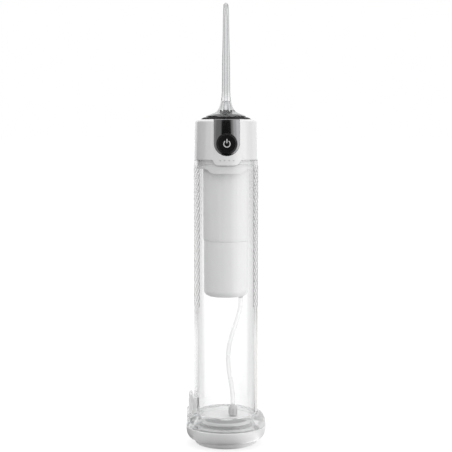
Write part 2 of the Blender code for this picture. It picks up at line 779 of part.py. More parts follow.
def build_pump():
    frame = block("gear_frame", (-8.4, -2.6, 186.5), (8.4, 10.5, 187.6), WHITE)
    fuse(frame, block("frame_upright", (-5, -2.6, 186.6), (5, -0.8, 203), WHITE))
    cut(
        frame,
        rod("frame_bore", 3.4, 180, 190, WHITE, SMALL, (0, MOTOR_Y, 0)),
        rod("axle_bore", 1.2, -6, 4, WHITE, SMALL, (0, 0, CRANK_Z), "Y"),
    )
    axle = rod("gear_axle", 0.9, -3.0, 7.6, STEEL, SMALL, (0, 0, CRANK_Z), "Y")
    barrel = ring("pump_barrel", 4.0, 5.2, 204.2, 215.6, WHITE, 24, (0, PUMP_Y, 0))

    body = block("valve_block", (-5.4, 5.6, 215.9), (5.4, 15.9, 220.3), WHITE, 1.5)
    cover = block("valve_cover", (-5.4, 5.6, 220.6), (5.4, 15.9, 221.4), WHITE, 1.5)
    screws, joints = [], []
    for side, name in ((-1, "left"), (1, "right")):
        x = side * 3.9
        cut(
            body,
            rod(f"valve_bore_{name}", 0.85, 214, 222, WHITE, SMALL, (side * VALVE_X, VALVE_Y, 0)),
            rod(f"screw_bore_{name}", 0.85, 214, 222, WHITE, SMALL, (x, 14.2, 0)),
        )
        cut(cover, rod(f"cover_bore_{name}", 0.85, 219, 223, WHITE, SMALL, (x, 14.2, 0)))
        screws.append(
            turned(
                f"cover_screw_{name}",
                [(0, 217), (0.55, 217), (0.55, 221.65), (1.2, 221.65), (1.2, 222.2), (0, 222.4)],
                STEEL,
                SMALL,
                (x, 14.2, 0),
            )
        )
    # Each valve's head seats on a ledge in the block. Water lifts the outlet's and pulls the inlet's down.
    cut(
        body,
        rod("outlet_seat", 1.6, 218.0, 222, WHITE, SMALL, (-VALVE_X, VALVE_Y, 0)),
        rod("inlet_seat", 1.6, 214, 217.6, WHITE, SMALL, (VALVE_X, VALVE_Y, 0)),
    )
    for name, x, seat, way in (("outlet", -VALVE_X, 218.0, 1), ("inlet", VALVE_X, 217.6, -1)):
        heights = [(0, -1.6), (0.5, -1.6), (0.5, 0.3), (1.3, 0.3), (1.2, 0.8), (0, 1.0)]
        outline = [(r, seat + way * h) for r, h in heights]
        valve = turned(name + "_valve", outline, SILICONE, SMALL, (x, VALVE_Y, 0))
        joint = joint_centre(name + "_valve_joint", (x, VALVE_Y, seat))
        hang(joint, valve)
        joints.append(joint)
    socket = turned(
        "nozzle_socket",
        [
            (0, 209.5),
            (4.6, 209.5),
            (4.6, 219.4),
            (5.2, 219.4),
            (5.2, 221.4),
            (3.15, 221.4),
            (3.15, 211.0),
            (0, 211.0),
        ],
        WHITE,
        MEDIUM,
    )
    fuse(body, rod("inlet_stub", 1.2, 5.0, 6.7, WHITE, SMALL, (0, PUMP_Y, 218.1), "X"))
    fuse(socket, rod("socket_stub", 1.2, 4.2, 5.3, WHITE, 12, (0, 0, 217.5), "Y"))
    return [frame, axle, barrel, body, cover, *screws, *joints, socket]


# ---- Nozzle ------------------------------------------------------------------------------------

# (height, radius) up the clear nozzle, from its flange to the start of the bend
NOZZLE_PROFILE = [
    (NOZZLE_BASE_Z, NOZZLE_FLANGE_R),
    (NOZZLE_BASE_Z + 0.5, NOZZLE_FLANGE_R),
    (226.2, 13.3),
    (227.2, 11.9),
    (228.2, 9.6),
    (229.3, 7.0),
    (231.0, 5.5),
    (234.0, 4.1),
    (237.4, 3.3),
    (243.0, 2.85),
    (264.3, 2.72),
    (272.4, 2.45),
    (280.0, 2.25),
    (NOZZLE_BEND_Z, 2.0),
]
TIP_R = 1.5


def build_nozzle():
    """The nozzle is one tube: its outline runs up from the stem, round the bend at the tip, and back
    down its bore. The flange's underside is hollow."""
    stations = [((0, 0, 211.6), NOZZLE_STEM_R - 0.3), ((0, 0, 212.2), NOZZLE_STEM_R)]
    stations += [((0, 0, 213.3), NOZZLE_STEM_R), ((0, 0, 213.3), 2.2), ((0, 0, 214.7), 2.2)]
    stations += [((0, 0, 214.7), NOZZLE_STEM_R), ((0, 0, NOZZLE_BASE_Z), NOZZLE_STEM_R)]
    stations += [((0, 0, 230.4), NOZZLE_STEM_R), ((0, 0, 229.6), 4.2), ((0, 0, 227.4), 8.3)]
    stations += [((0, 0, 226.2), 11.4), ((0, 0, NOZZLE_BASE_Z), 12.6)]
    stations += [((0, 0, z), radius) for z, radius in NOZZLE_PROFILE]
    bend = []
    for k in range(1, 7):
        angle = NOZZLE_BEND_ANGLE * k / 6
        bend.append(
            ((0, NOZZLE_BEND_R * (1 - math.cos(angle)), NOZZLE_BEND_Z + NOZZLE_BEND_R * math.sin(angle)), 2.0 - 0.06 * k)
        )
    heading = Vector((0, math.sin(NOZZLE_BEND_ANGLE), math.cos(NOZZLE_BEND_ANGLE)))
    tip = Vector(bend[-1][0]) + heading * 3.0
    bend.append((tuple(tip), TIP_R))
    stations += bend
    stations += [(centre, NOZZLE_BORE_R - 0.45) for centre, _ in reversed(bend)]
    stations += [((0, 0, NOZZLE_BEND_Z), NOZZLE_BORE_R), ((0, 0, 211.6), NOZZLE_BORE_R)]

    bm = bmesh.new()
    loops = []
    for centre, radius in stations:
        tilt = 0.0
        if centre[2] > NOZZLE_BEND_Z:
            tilt = min(NOZZLE_BEND_ANGLE, math.acos(max(-1.0, 1 - centre[1] / NOZZLE_BEND_R)))
        across = Matrix.Rotation(-tilt, 3, "X")
        loop = []
        for k in range(24):
            angle = k * math.tau / 24
            loop.append(bm.verts.new(Vector(centre) + across @ Vector((math.cos(angle), math.sin(angle), 0)) * radius))
        loops.append(loop)
    for lower, upper in zip(loops, loops[1:] + loops[:1]):
        for k in range(24):
            m = (k + 1) % 24
            bm.faces.new((lower[k], lower[m], upper[m], upper[k]))
    nozzle = object_from("nozzle", bm, CLEAR)
    stem_seal = seal("nozzle_seal", 2.6, 0.33, 214.0, SILICONE, SMALL)
    grip = turned(
        "nozzle_collar",
        [
            (3.25, 221.7),
            (7.0, 221.7),
            (7.6, 222.3),
            (7.6, 224.75),
            (12.1, 224.75),
            (12.1, 225.1),
            (11.2, 225.8),
            (10.2, 226.3),
            (3.25, 226.3),
        ],
        BLACK,
        MEDIUM,
    )
    return nozzle, stem_seal, grip


# ---- Assembly ----------------------------------------------------------------------------------


def build():
    build_tank()
    build_port_door()

    unit = joint_centre("unit_joint", (0, 0, HOUSING_LOW))
    housing = build_housing()
    cap = housing.pop()
    socket, flap = build_charge_port()
    motor, rotor = build_motor()
    connecting_rod, piston = build_rod_and_piston()
    nozzle, stem_seal, grip = build_nozzle()
    hang(unit, *housing, socket, *build_core(), *build_suction_line(), *build_electrics(), *motor, *build_pump())
    hang(unit, cap.parent, flap.parent)

    hang(joint_centre("motor_joint", (0, MOTOR_Y, PINION_Z), unit), rotor, build_pinion())
    crank = joint_centre("crank_joint", (0, PUMP_Y, CRANK_Z), unit)
    hang(crank, build_crown_gear())
    hang(joint_centre("rod_joint", (0, PUMP_Y, CRANK_Z - CRANK_THROW), crank), connecting_rod)
    hang(joint_centre("piston_joint", (0, PUMP_Y, CRANK_Z + ROD_LENGTH), unit), *piston)
    swivel = joint_centre("nozzle_swivel_joint", (0, 0, HOUSING_TOP), unit)
    hang(swivel, grip)
    hang(joint_centre("nozzle_pull_joint", (0, 0, HOUSING_TOP), swivel), nozzle, stem_seal)


build()
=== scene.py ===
"""The looks of a cordless water flosser: a clear tank on a round base, and the pump unit in it.

Sizes are in millimetres and MM turns them into Blender's metres. +Z is up and the button faces -Y.
"""

import math

import bmesh
import bpy
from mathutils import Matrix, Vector


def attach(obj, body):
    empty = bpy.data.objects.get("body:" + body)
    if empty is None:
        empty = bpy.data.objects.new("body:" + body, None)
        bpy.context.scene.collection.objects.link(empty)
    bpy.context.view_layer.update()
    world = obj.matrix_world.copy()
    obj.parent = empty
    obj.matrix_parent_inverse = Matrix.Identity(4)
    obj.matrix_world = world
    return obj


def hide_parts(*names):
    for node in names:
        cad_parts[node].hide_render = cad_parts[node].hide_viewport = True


MM = 0.001
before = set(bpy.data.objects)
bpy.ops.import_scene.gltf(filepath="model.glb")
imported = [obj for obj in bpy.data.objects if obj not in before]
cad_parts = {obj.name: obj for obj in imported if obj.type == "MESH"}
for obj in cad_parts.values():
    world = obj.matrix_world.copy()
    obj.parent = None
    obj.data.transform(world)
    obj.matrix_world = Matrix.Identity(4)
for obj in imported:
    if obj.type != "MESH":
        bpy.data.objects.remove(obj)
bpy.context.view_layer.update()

# Tank
TUBE_R, TUBE_BORE, TUBE_LOW, TUBE_TOP = 22.0, 20.0, 9.2, 196.7
TUBE_SIDES = 160
PORT_Z, PORT_HALF_WIDTH, PORT_HOLE_R = 28.0, 8.2, 4.2
HINGE_X, HINGE_Z = -25.4, 21.4
GRIP_LOW, GRIP_HIGH, GRIP_ROW = 96.0, 193.9, 1.165
GRIP_HALF_ANGLE, GRIP_MARGIN, GRIP_HEIGHT = 36.0, 3.0, 0.22
# How far each step of a grip reaches from its middle, and its share of the grip's height
GRIP_STEPS = ((3.1, 0.35), (2.1, 0.4), (1.1, 0.25))

# Base
BASE_R, SEAT_R, COLLAR_LOW, COLLAR_TOP = 27.6, 22.08, 12.85, 22.2
CUP_LOW, CUP_TOP, FLOOR_Z = 4.0, 12.6, 18.6
FOOT_R, FOOT_TOP = 21.8, 3.9

# Housing and its trim
HOUSING_LOW, HOUSING_TOP = 196.95, 224.3
HOUSING_LOW_R, HOUSING_TOP_R = 21.88, 21.15
TONGUE_LOW, DISC_R = 193.5, 17.4
PANEL_HALF_WIDTH, PANEL_LOW = 8.6, 199.8
PANEL_ARC_Z = PANEL_LOW + PANEL_HALF_WIDTH
BUTTON_Z, BUTTON_R = 207.8, 6.45

# Core
CORE_R, CORE_LOWER_R = 15.6, 15.2
CORE_LOW, CORE_SEAM, CORE_TOP = 103.0, 141.4, 199.3
CORE_COLLAR_R, CHIN_LOW = 19.6, 187.7
HOSE_R, BARB_X, FILTER_X = 1.5, 10.1, 4.8

# Nozzle
NOZZLE_BORE_R, JET_R, TIP_R, TIP_LENGTH = 0.9, 0.5, 1.5, 3.0
BEND_Z, BEND_R, BEND_ANGLE, BEND_RINGS = 297.0, 5.0, math.radians(80), 10

# Sides of a large round piece, and how a piece made upright is turned to lie along an axis
ROUND = 128
TURNED = {"Z": (0, 0, 0), "Y": (-math.pi / 2, 0, 0), "X": (0, math.pi / 2, 0)}

# Scales of the noise in every finish, per metre, how much duller a handled edge is, and how much
# light passes straight through a clear finish
TONE_SCALE, SMEAR_SCALE, EDGE_SCALE = 45.0, 160.0, 900.0
EDGE_DULLING = 0.15
LIGHT_THROUGH = 0.97

# Camera: its lens in millimetres, the height that it looks at and how far it stands off in metres,
# and how far it's tilted down and turned round
CAMERA_LENS, CAMERA_TARGET, CAMERA_DISTANCE = 97.96, 0.1512, 0.8456
CAMERA_TILT, CAMERA_AROUND = math.radians(4.6), math.radians(1.6)

# Studio: the paper's own tone and glow, the pool of light that matt pieces see on it at -X and at
# +X, the soft light that they get from -X, from +X and from above, and the brightness of the
# ceiling as mirrored and as seen through
PAPER_TONE, PAPER_GLOW = 0.36, 0.72
POOL_LEFT, POOL_RIGHT = 0.1, 0.8
SOFT_LEFT, SOFT_RIGHT, SOFT_ABOVE = 0.6, 0.78, 1.4
CEILING_MIRRORED, CEILING_THROUGH = 1.1, 0.45


# ---- Nodes of the materials --------------------------------------------------------------------


def group(name, inputs, outputs):
    """A shader node group with named sockets, and its two ends."""
    made = bpy.data.node_groups.new(name, "ShaderNodeTree")
    for label, kind, value in inputs:
        socket = made.interface.new_socket(label, in_out="INPUT", socket_type=kind)
        socket.default_value = value
    for label, kind in outputs:
        made.interface.new_socket(label, in_out="OUTPUT", socket_type=kind)
    return made, made.nodes.new("NodeGroupInput"), made.nodes.new("NodeGroupOutput")


def node(tree, kind, **settings):
    made = tree.nodes.new(kind)
    for key, value in settings.items():
        setattr(made, key, value)
    return made


def feed(tree, value, socket):
    """Links another socket to this one, or sets this one to a plain number."""
    if not isinstance(value, (int, float)):
        tree.links.new(value, socket)
    elif socket.type == "RGBA":
        socket.default_value = (value,) * 3 + (1,)
    else:
        socket.default_value = value


def noise(tree, scale, detail, place, roughness=0.5):
    made = node(tree, "ShaderNodeTexNoise")
    made.inputs["Detail"].default_value = detail
    made.inputs["Roughness"].default_value = roughness
    feed(tree, place, made.inputs["Vector"])
    feed(tree, scale, made.inputs["Scale"])
    return made.outputs["Fac"]


def remap(tree, value, low, high, to_low, to_high):
    """The value carried from the range low to high into the range to_low to to_high."""
    made = node(tree, "ShaderNodeMapRange")
    feed(tree, value, made.inputs["Value"])
    ends = {"From Min": low, "From Max": high, "To Min": to_low, "To Max": to_high}
    for label, number in ends.items():
        feed(tree, number, made.inputs[label])
    return made.outputs["Result"]


def sums(tree, operation, *values):
    """One operation of arithmetic on sockets or plain numbers."""
    made = node(tree, "ShaderNodeMath", operation=operation)
    for value, socket in zip(values, made.inputs):
        feed(tree, value, socket)
    return made.outputs["Value"]


def blend(tree, share, low, high):
    """A colour or a grey between low and high."""
    made = node(tree, "ShaderNodeMix", data_type="RGBA")
    for value, socket in ((share, made.inputs[0]), (low, made.inputs[6]), (high, made.inputs[7])):
        feed(tree, value, socket)
    return made.outputs[2]


def moulded_group():
    """Moulded plastic: a slow change of tone, smears in the gloss, and a fine grain in relief."""
    made, start, end = group(
        "moulded_surface",
        [
            ("Color", "NodeSocketColor", (0.8, 0.8, 0.8, 1)),
            ("Roughness", "NodeSocketFloat", 0.3),
            ("Tone", "NodeSocketFloat", 0.03),
            ("Gloss Change", "NodeSocketFloat", 0.06),
            ("Grain Scale", "NodeSocketFloat", 2500.0),
            ("Grain Depth", "NodeSocketFloat", 0.00001),
        ],
        [
            ("Color", "NodeSocketColor"),
            ("Roughness", "NodeSocketFloat"),
            ("Normal", "NodeSocketVector"),
        ],
    )
    place = node(made, "ShaderNodeTexCoord").outputs["Object"]
    slow = noise(made, TONE_SCALE, 2.0, place)
    darkest = sums(made, "SUBTRACT", 1.0, start.outputs["Tone"])
    tone = remap(made, slow, 0.3, 0.7, darkest, 1.0)
    tint = node(made, "ShaderNodeVectorMath", operation="SCALE")
    made.links.new(start.outputs["Color"], tint.inputs[0])
    made.links.new(tone, tint.inputs["Scale"])
    made.links.new(tint.outputs["Vector"], end.inputs["Color"])

    smears = noise(made, SMEAR_SCALE, 4.0, place, 0.6)
    half = sums(made, "MULTIPLY", start.outputs["Gloss Change"], 0.5)
    low = sums(made, "SUBTRACT", start.outputs["Roughness"], half)
    high = sums(made, "ADD", start.outputs["Roughness"], half)
    made.links.new(remap(made, smears, 0.3, 0.7, low, high), end.inputs["Roughness"])

    grain = noise(made, start.outputs["Grain Scale"], 3.0, place)
    bump = node(made, "ShaderNodeBump")
    bump.inputs["Strength"].default_value = 1.0
    made.links.new(start.outputs["Grain Depth"], bump.inputs["Distance"])
    made.links.new(grain, bump.inputs["Height"])
    made.links.new(bump.outputs["Normal"], end.inputs["Normal"])
    return made


def wear_group():
    """Handled edges: paler and duller where the surface turns sharply outwards."""
    made, start, end = group(
        "handled_edges",
        [
            ("Color", "NodeSocketColor", (0.8, 0.8, 0.8, 1)),
            ("Edge Color", "NodeSocketColor", (0.9, 0.9, 0.9, 1)),
            ("Roughness", "NodeSocketFloat", 0.3),
            ("Amount", "NodeSocketFloat", 0.3),
        ],
        [("Color", "NodeSocketColor"), ("Roughness", "NodeSocketFloat")],
    )
    sharp = node(made, "ShaderNodeNewGeometry").outputs["Pointiness"]
    place = node(made, "ShaderNodeTexCoord").outputs["Object"]
    edges = remap(made, sharp, 0.52, 0.6, 0.0, 1.0)
    broken = remap(made, noise(made, EDGE_SCALE, 4.0, place, 0.7), 0.35, 0.65, 0.2, 1.0)
    mask = sums(made, "MULTIPLY", sums(made, "MULTIPLY", edges, broken), start.outputs["Amount"])
    colour = blend(made, mask, start.outputs["Color"], start.outputs["Edge Color"])
    made.links.new(colour, end.inputs["Color"])
    rougher = sums(made, "MULTIPLY_ADD", mask, EDGE_DULLING, start.outputs["Roughness"])
    made.links.new(rougher, end.inputs["Roughness"])
    return made


MOULDED = moulded_group()
HANDLED = wear_group()


def finish_of(
    name,
    colour,
    roughness,
    metallic=0.0,
    tone=0.03,
    gloss=0.06,
    grain=(2500, 0.00001),
    wear=0.25,
    **plain,
):
    """A Principled material: moulded surface, then handled edges. grain is how many grains there
    are in a metre and their depth in metres, and plain sets the shader's other sockets."""
    made = bpy.data.materials.new(name)
    made.use_nodes = True
    tree = made.node_tree
    shader = tree.nodes["Principled BSDF"]
    surface = node(tree, "ShaderNodeGroup", node_tree=MOULDED)
    surface.inputs["Color"].default_value = (*colour, 1)
    surface.inputs["Roughness"].default_value = roughness
    surface.inputs["Tone"].default_value = tone
    surface.inputs["Gloss Change"].default_value = gloss
    surface.inputs["Grain Scale"].default_value = grain[0]
    surface.inputs["Grain Depth"].default_value = grain[1]
    edges = node(tree, "ShaderNodeGroup", node_tree=HANDLED)
    paler = [min(1.0, level * 1.2 + 0.03) for level in colour]
    edges.inputs["Edge Color"].default_value = (*paler, 1)
    edges.inputs["Amount"].default_value = wear
    tree.links.new(surface.outputs["Color"], edges.inputs["Color"])
    tree.links.new(surface.outputs["Roughness"], edges.inputs["Roughness"])
    tree.links.new(edges.outputs["Color"], shader.inputs["Base Color"])
    tree.links.new(edges.outputs["Roughness"], shader.inputs["Roughness"])
    tree.links.new(surface.outputs["Normal"], shader.inputs["Normal"])
    shader.inputs["Metallic"].default_value = metallic
    for label, value in plain.items():
        shader.inputs[label.replace("_", " ")].default_value = value
    return made


def clear_finish(name, colour, roughness, transmission=1.0, ior=1.49, **surface):
    """Clear moulded plastic. Shadow rays, and the light that a matt surface gathers, pass straight
    through it."""
    made = finish_of(
        name, colour, roughness, wear=0.0, **surface, Transmission_Weight=transmission, IOR=ior
    )
    tree = made.node_tree
    shader, output = tree.nodes["Principled BSDF"], tree.nodes["Material Output"]
    straight = node(tree, "ShaderNodeBsdfTransparent")
    straight.inputs["Color"].default_value = (LIGHT_THROUGH,) * 3 + (1,)
    mix = node(tree, "ShaderNodeMixShader")
    rays = node(tree, "ShaderNodeLightPath").outputs
    gathered = sums(tree, "GREATER_THAN", rays["Diffuse Depth"], 0.5)
    tree.links.new(sums(tree, "MAXIMUM", rays["Is Shadow Ray"], gathered), mix.inputs["Fac"])
    tree.links.new(shader.outputs["BSDF"], mix.inputs[1])
    tree.links.new(straight.outputs["BSDF"], mix.inputs[2])
    tree.links.new(mix.outputs["Shader"], output.inputs["Surface"])
    return made


CLEAR_TANK = clear_finish(
    "clear_tank", (0.99, 0.992, 0.992), 0.02, tone=0.01, gloss=0.02, grain=(60, 0.000006)
)
CLEAR_COLLAR = clear_finish(
    "clear_collar",
    (0.95, 0.955, 0.96),
    0.05,
    transmission=0.85,
    tone=0.02,
    gloss=0.04,
    grain=(110, 0.00002),
)
CLEAR_DOOR = clear_finish(
    "frosted_door",
    (0.94, 0.94, 0.94),
    0.3,
    transmission=0.5,
    ior=1.3,
    gloss=0.05,
    grain=(900, 0.00001),
)
CLEAR_NOZZLE = clear_finish(
    "clear_nozzle", (0.97, 0.975, 0.98), 0.01, tone=0.02, gloss=0.01, grain=(40, 0.000001)
)
HOSE_SILICONE = clear_finish(
    "hose_silicone",
    (0.97, 0.97, 0.97),
    0.3,
    transmission=0.85,
    ior=1.12,
    gloss=0.1,
    grain=(700, 0.00003),
)
SILICONE = finish_of(
    "soft_silicone",
    (0.62, 0.62, 0.62),
    0.55,
    tone=0.06,
    gloss=0.12,
    grain=(1800, 0.00002),
    wear=0.2,
)
GLOSS_WHITE = finish_of(
    "gloss_white",
    (0.82, 0.82, 0.82),
    0.2,
    tone=0.015,
    gloss=0.05,
    grain=(1500, 0.000002),
    Coat_Weight=0.7,
    Coat_Roughness=0.1,
)
CORE_SATIN = finish_of("core_satin", (0.93, 0.93, 0.93), 0.32, grain=(2600, 0.000012))
MILKY = finish_of(
    "milky_cup",
    (0.82, 0.82, 0.82),
    0.3,
    grain=(900, 0.00001),
    Coat_Weight=0.3,
    Coat_Roughness=0.15,
)
FOOT_RUBBER = finish_of(
    "foot_rubber", (0.86, 0.86, 0.86), 0.5, tone=0.08, gloss=0.15, grain=(2200, 0.00003)
)
DARK_CHROME = finish_of(
    "dark_chrome", (0.22, 0.22, 0.225), 0.1, metallic=1.0, gloss=0.04, grain=(1200, 0.0000004)
)
SMOKED_RING = finish_of(
    "smoked_ring", (0.05, 0.05, 0.052), 0.12, metallic=1.0, gloss=0.04, grain=(1200, 0.0000004)
)
GLOSS_BLACK = finish_of(
    "gloss_black",
    (0.006, 0.006, 0.0065),
    0.28,
    tone=0.2,
    gloss=0.08,
    grain=(2200, 0.000012),
    wear=0.5,
)
MATT_BLACK = finish_of(
    "matt_black",
    (0.004, 0.004, 0.0045),
    0.55,
    tone=0.2,
    gloss=0.1,
    grain=(2200, 0.00001),
    wear=0.3,
    Specular_IOR_Level=0.12,
)
# Dark rubber of the tank's seal. The cup also uses it for a band of painted shade.
DARK_SEAL_AND_SHADE = finish_of(
    "dark_seal_and_shade", (0.12, 0.12, 0.12), 0.5, tone=0.1, gloss=0.1, grain=(1800, 0.00001)
)
ICON = finish_of("icon_ink", (0.62, 0.62, 0.62), 0.45, tone=0.05, gloss=0.1, grain=(3000, 0.00001))
PRINT = finish_of(
    "pale_print", (0.42, 0.42, 0.42), 0.4, tone=0.1, gloss=0.1, grain=(3000, 0.000004)
)
STEEL = finish_of(
    "plain_steel",
    (0.6, 0.6, 0.6),
    0.28,
    metallic=1.0,
    tone=0.08,
    gloss=0.15,
    grain=(1500, 0.00001),
)
MAGNET = finish_of("ferrite", (0.06, 0.06, 0.065), 0.6, tone=0.2, gloss=0.2, grain=(3000, 0.00004))
CELL = finish_of("cell_sleeve", (0.05, 0.2, 0.45), 0.35, tone=0.06, gloss=0.1, grain=(900, 0.00002))
BOARD = finish_of(
    "solder_mask", (0.015, 0.16, 0.06), 0.4, tone=0.15, gloss=0.15, grain=(1800, 0.00004)
)
CHIP = finish_of(
    "chip_epoxy", (0.015, 0.015, 0.016), 0.55, tone=0.15, gloss=0.15, grain=(3500, 0.00002)
)
ACETAL = finish_of("acetal", (0.8, 0.78, 0.7), 0.4, tone=0.04, gloss=0.1, grain=(2500, 0.00002))


# ---- Modelling ---------------------------------------------------------------------------------


def alone(piece):
    bpy.ops.object.select_all(action="DESELECT")
    piece.select_set(True)
    bpy.context.view_layer.objects.active = piece


def place_in_mesh(piece):
    alone(piece)
    bpy.ops.object.transform_apply(location=True, rotation=True, scale=True)


def named(name):
    """The piece just added, under its name and with its place kept in its mesh."""
    piece = bpy.context.object
    piece.name = piece.data.name = name
    place_in_mesh(piece)
    return piece


def lay(piece, along, at):
    """Turns an upright piece along an axis, and moves it to at."""
    piece.location = Vector(at) * MM
    piece.rotation_euler = TURNED[along]
    place_in_mesh(piece)
    return piece


def choose(piece, test, kind="FACE"):
    """In edit mode, selects the faces, edges or points that pass the test, which gets the middle
    in millimetres and the direction."""
    bpy.ops.mesh.select_mode(type=kind)
    bpy.ops.mesh.select_all(action="DESELECT")
    mesh = bmesh.from_edit_mesh(piece.data)
    for part in {"FACE": mesh.faces, "EDGE": mesh.edges, "VERT": mesh.verts}[kind]:
        if kind == "FACE":
            middle, facing = part.calc_center_median(), part.normal
        elif kind == "EDGE":
            start, end = part.verts[0].co, part.verts[1].co
            middle, facing = (start + end) / 2, end - start
        else:
            middle, facing = part.co, part.normal
        if test(middle / MM, facing):
            part.select_set(True)
    bmesh.update_edit_mesh(piece.data)


def drawn_up(name, points, around, closed_start):
    """A circle at the first (radius, height) point, extruded and resized to each of the next, and
    still in edit mode. A closed start is a disc there."""
    bpy.ops.object.select_all(action="DESELECT")
    radius, height = points[0]
    bpy.ops.mesh.primitive_circle_add(
        vertices=around,
        radius=radius * MM,
        location=(0, 0, height * MM),
        fill_type="TRIFAN" if closed_start else "NOTHING",
    )
    piece = named(name)
    bpy.ops.object.mode_set(mode="EDIT")
    bpy.ops.mesh.select_mode(type="EDGE")
    bpy.ops.mesh.select_all(action="SELECT")
    if closed_start:
        bpy.ops.mesh.region_to_loop()
    for (radius, height), (wider, higher) in zip(points, points[1:]):
        rise = (0, 0, (higher - height) * MM)
        bpy.ops.mesh.extrude_edges_move(TRANSFORM_OT_translate={"value": rise})
        if wider == 0:
            bpy.ops.mesh.merge(type="CENTER")
        elif wider != radius:
            size = (wider / radius, wider / radius, 1)
            bpy.ops.transform.resize(value=size, center_override=(0, 0, 0))
    return piece


def turn(name, outline, around=ROUND, along="Z", at=(0, 0, 0)):
    """A turned piece. An outline that starts off the axis comes back to its first point, as a ring
    does, and one that starts on it has a flat disc there."""
    points = list(outline)
    ring = points[0][0] > 0
    if ring:
        points.append(points[0])
    else:
        points.pop(0)
    piece = drawn_up(name, points, around, not ring)
    bpy.ops.mesh.select_all(action="SELECT")
    bpy.ops.mesh.remove_doubles(threshold=1e-7)
    bpy.ops.mesh.normals_make_consistent(inside=False)
    bpy.ops.object.mode_set(mode="OBJECT")
    return lay(piece, along, at)


def box(name, low, high):
    bpy.ops.object.select_all(action="DESELECT")
    low, high = Vector(low) * MM, Vector(high) * MM
    bpy.ops.mesh.primitive_cube_add(size=1, location=(low + high) / 2, scale=high - low)
    return named(name)


def drum(name, radius, low, high, around=64, along="Z", at=(0, 0, 0)):
    """A plain cylinder, for a cutter or a start."""
    bpy.ops.object.select_all(action="DESELECT")
    bpy.ops.mesh.primitive_cylinder_add(
        vertices=around,
        radius=radius * MM,
        depth=(high - low) * MM,
        location=(0, 0, (high + low) / 2 * MM),
    )
    return lay(named(name), along, at)


def tapered(name, half_top, half_bottom, top, bottom, near, far, radius):
    """A block with sides that lean in towards the bottom, and its two lower edges rounded."""
    piece = box(name, (-half_bottom, near, bottom), (half_bottom, far, top))

    def lower_side(middle, facing):
        return middle.z < bottom + 0.01 and abs(facing.normalized().y) > 0.9

    bpy.ops.object.mode_set(mode="EDIT")
    choose(piece, lambda middle, facing: facing.z > 0.9)
    bpy.ops.transform.resize(value=(half_top / half_bottom, 1, 1), center_override=(0, 0, 0))
    choose(piece, lower_side, "EDGE")
    bpy.ops.mesh.bevel(offset=radius * MM, segments=8, profile=0.5, affect="EDGES")
    bpy.ops.object.mode_set(mode="OBJECT")
    return piece


def fit(piece, kind, **settings):
    """Adds a modifier and applies it."""
    alone(piece)
    modifier = piece.modifiers.new(kind.lower(), kind)
    for key, value in settings.items():
        setattr(modifier, key, value)
    bpy.ops.object.modifier_apply(modifier=modifier.name)
    return piece


def joined(piece, others, operation):
    for other in others:
        fit(piece, "BOOLEAN", operation=operation, solver="EXACT", object=other)
        bpy.data.objects.remove(other)
    return piece


def cut(piece, *others):
    return joined(piece, others, "DIFFERENCE")


def fuse(piece, *others):
    return joined(piece, others, "UNION")


def within(piece, *others):
    return joined(piece, others, "INTERSECT")


def soften(piece, width, segments=3, angle=35):
    """Rounds the piece's sharp edges."""
    return fit(
        piece,
        "BEVEL",
        width=width * MM,
        segments=segments,
        limit_method="ANGLE",
        angle_limit=math.radians(angle),
        use_clamp_overlap=True,
    )


def complete(piece, finish, body, *nodes, slot=None, angle=40):
    """Gives the piece its finish and shading, and puts it on its body in place of its CAD nodes."""
    alone(piece)
    bpy.ops.object.shade_smooth_by_angle(angle=math.radians(angle))
    piece.data.materials.clear()
    piece.data.materials.append(finish)
    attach(piece, body)
    if nodes:
        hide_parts(*nodes)
    return piece


def paint(piece, finish, test):
    """Gives a second finish to the faces whose middle passes the test."""
    piece.data.materials.append(finish)
    for face in piece.data.polygons:
        if test(face.center / MM):
            face.material_index = 1


def shoulder(inner, outer, low, high, power, upwards, steps=24):
    """(radius, height) points of a full, rounded shoulder, from its widest point inwards. It
    climbs from low to high, or falls from high to low. A higher power makes it fuller."""
    points = []
    for k in range(steps + 1):
        angle = k * math.pi / 2 / steps
        out = max(0.0, math.cos(angle)) ** (2 / power)
        rise = math.sin(angle) ** (2 / power) * (high - low)
        points.append((inner + (outer - inner) * out, low + rise if upwards else high - rise))
    return points


# ---- Camera, floor and light -------------------------------------------------------------------


def build_camera():
    data = bpy.data.cameras.new("camera")
    data.sensor_width = 36.0
    data.lens = CAMERA_LENS
    camera = bpy.data.objects.new("camera", data)
    bpy.context.scene.collection.objects.link(camera)
    reach = CAMERA_DISTANCE * math.cos(CAMERA_TILT)
    camera.location = (
        -reach * math.sin(CAMERA_AROUND),
        -reach * math.cos(CAMERA_AROUND),
        CAMERA_TARGET + CAMERA_DISTANCE * math.sin(CAMERA_TILT),
    )
    camera.rotation_euler = (math.pi / 2 - CAMERA_TILT, 0, -CAMERA_AROUND)
    bpy.context.scene.camera = camera


# Brightness of the studio's walls by the angle round from the button's side, in degrees and
# positive towards +X. Each row holds from its angle to the next. Polished pieces mirror the first
# table, and the second is what shows through clear ones.
WALLS_MIRRORED = (
    (-180, 1.0),
    (-134, 0.1),
    (-82, 1.0),
    (-50, 0.8),
    (-40, 0.5),
    (-19, 0.03),
    (18, 0.7),
    (26, 1.4),
    (38, 2.1),
    (78, 0.9),
    (90, 0.4),
    (112, 0.75),
    (150, 1.0),
)
WALLS_THROUGH = (
    (-180, 1.02),
    (-176, 0.94),
    (-172.5, 0.88),
    (-169, 0.84),
    (-130, 0.15),
    (-106, 0.85),
    (106, 0.15),
    (130, 0.8),
    (169, 0.84),
    (172.5, 0.92),
    (176, 1.02),
)
# How much of its brightness a wall keeps from far off, and half the width of a step between rows,
# as a share of a turn
FAR_WALLS = 0.82
WALL_STEP = 0.004


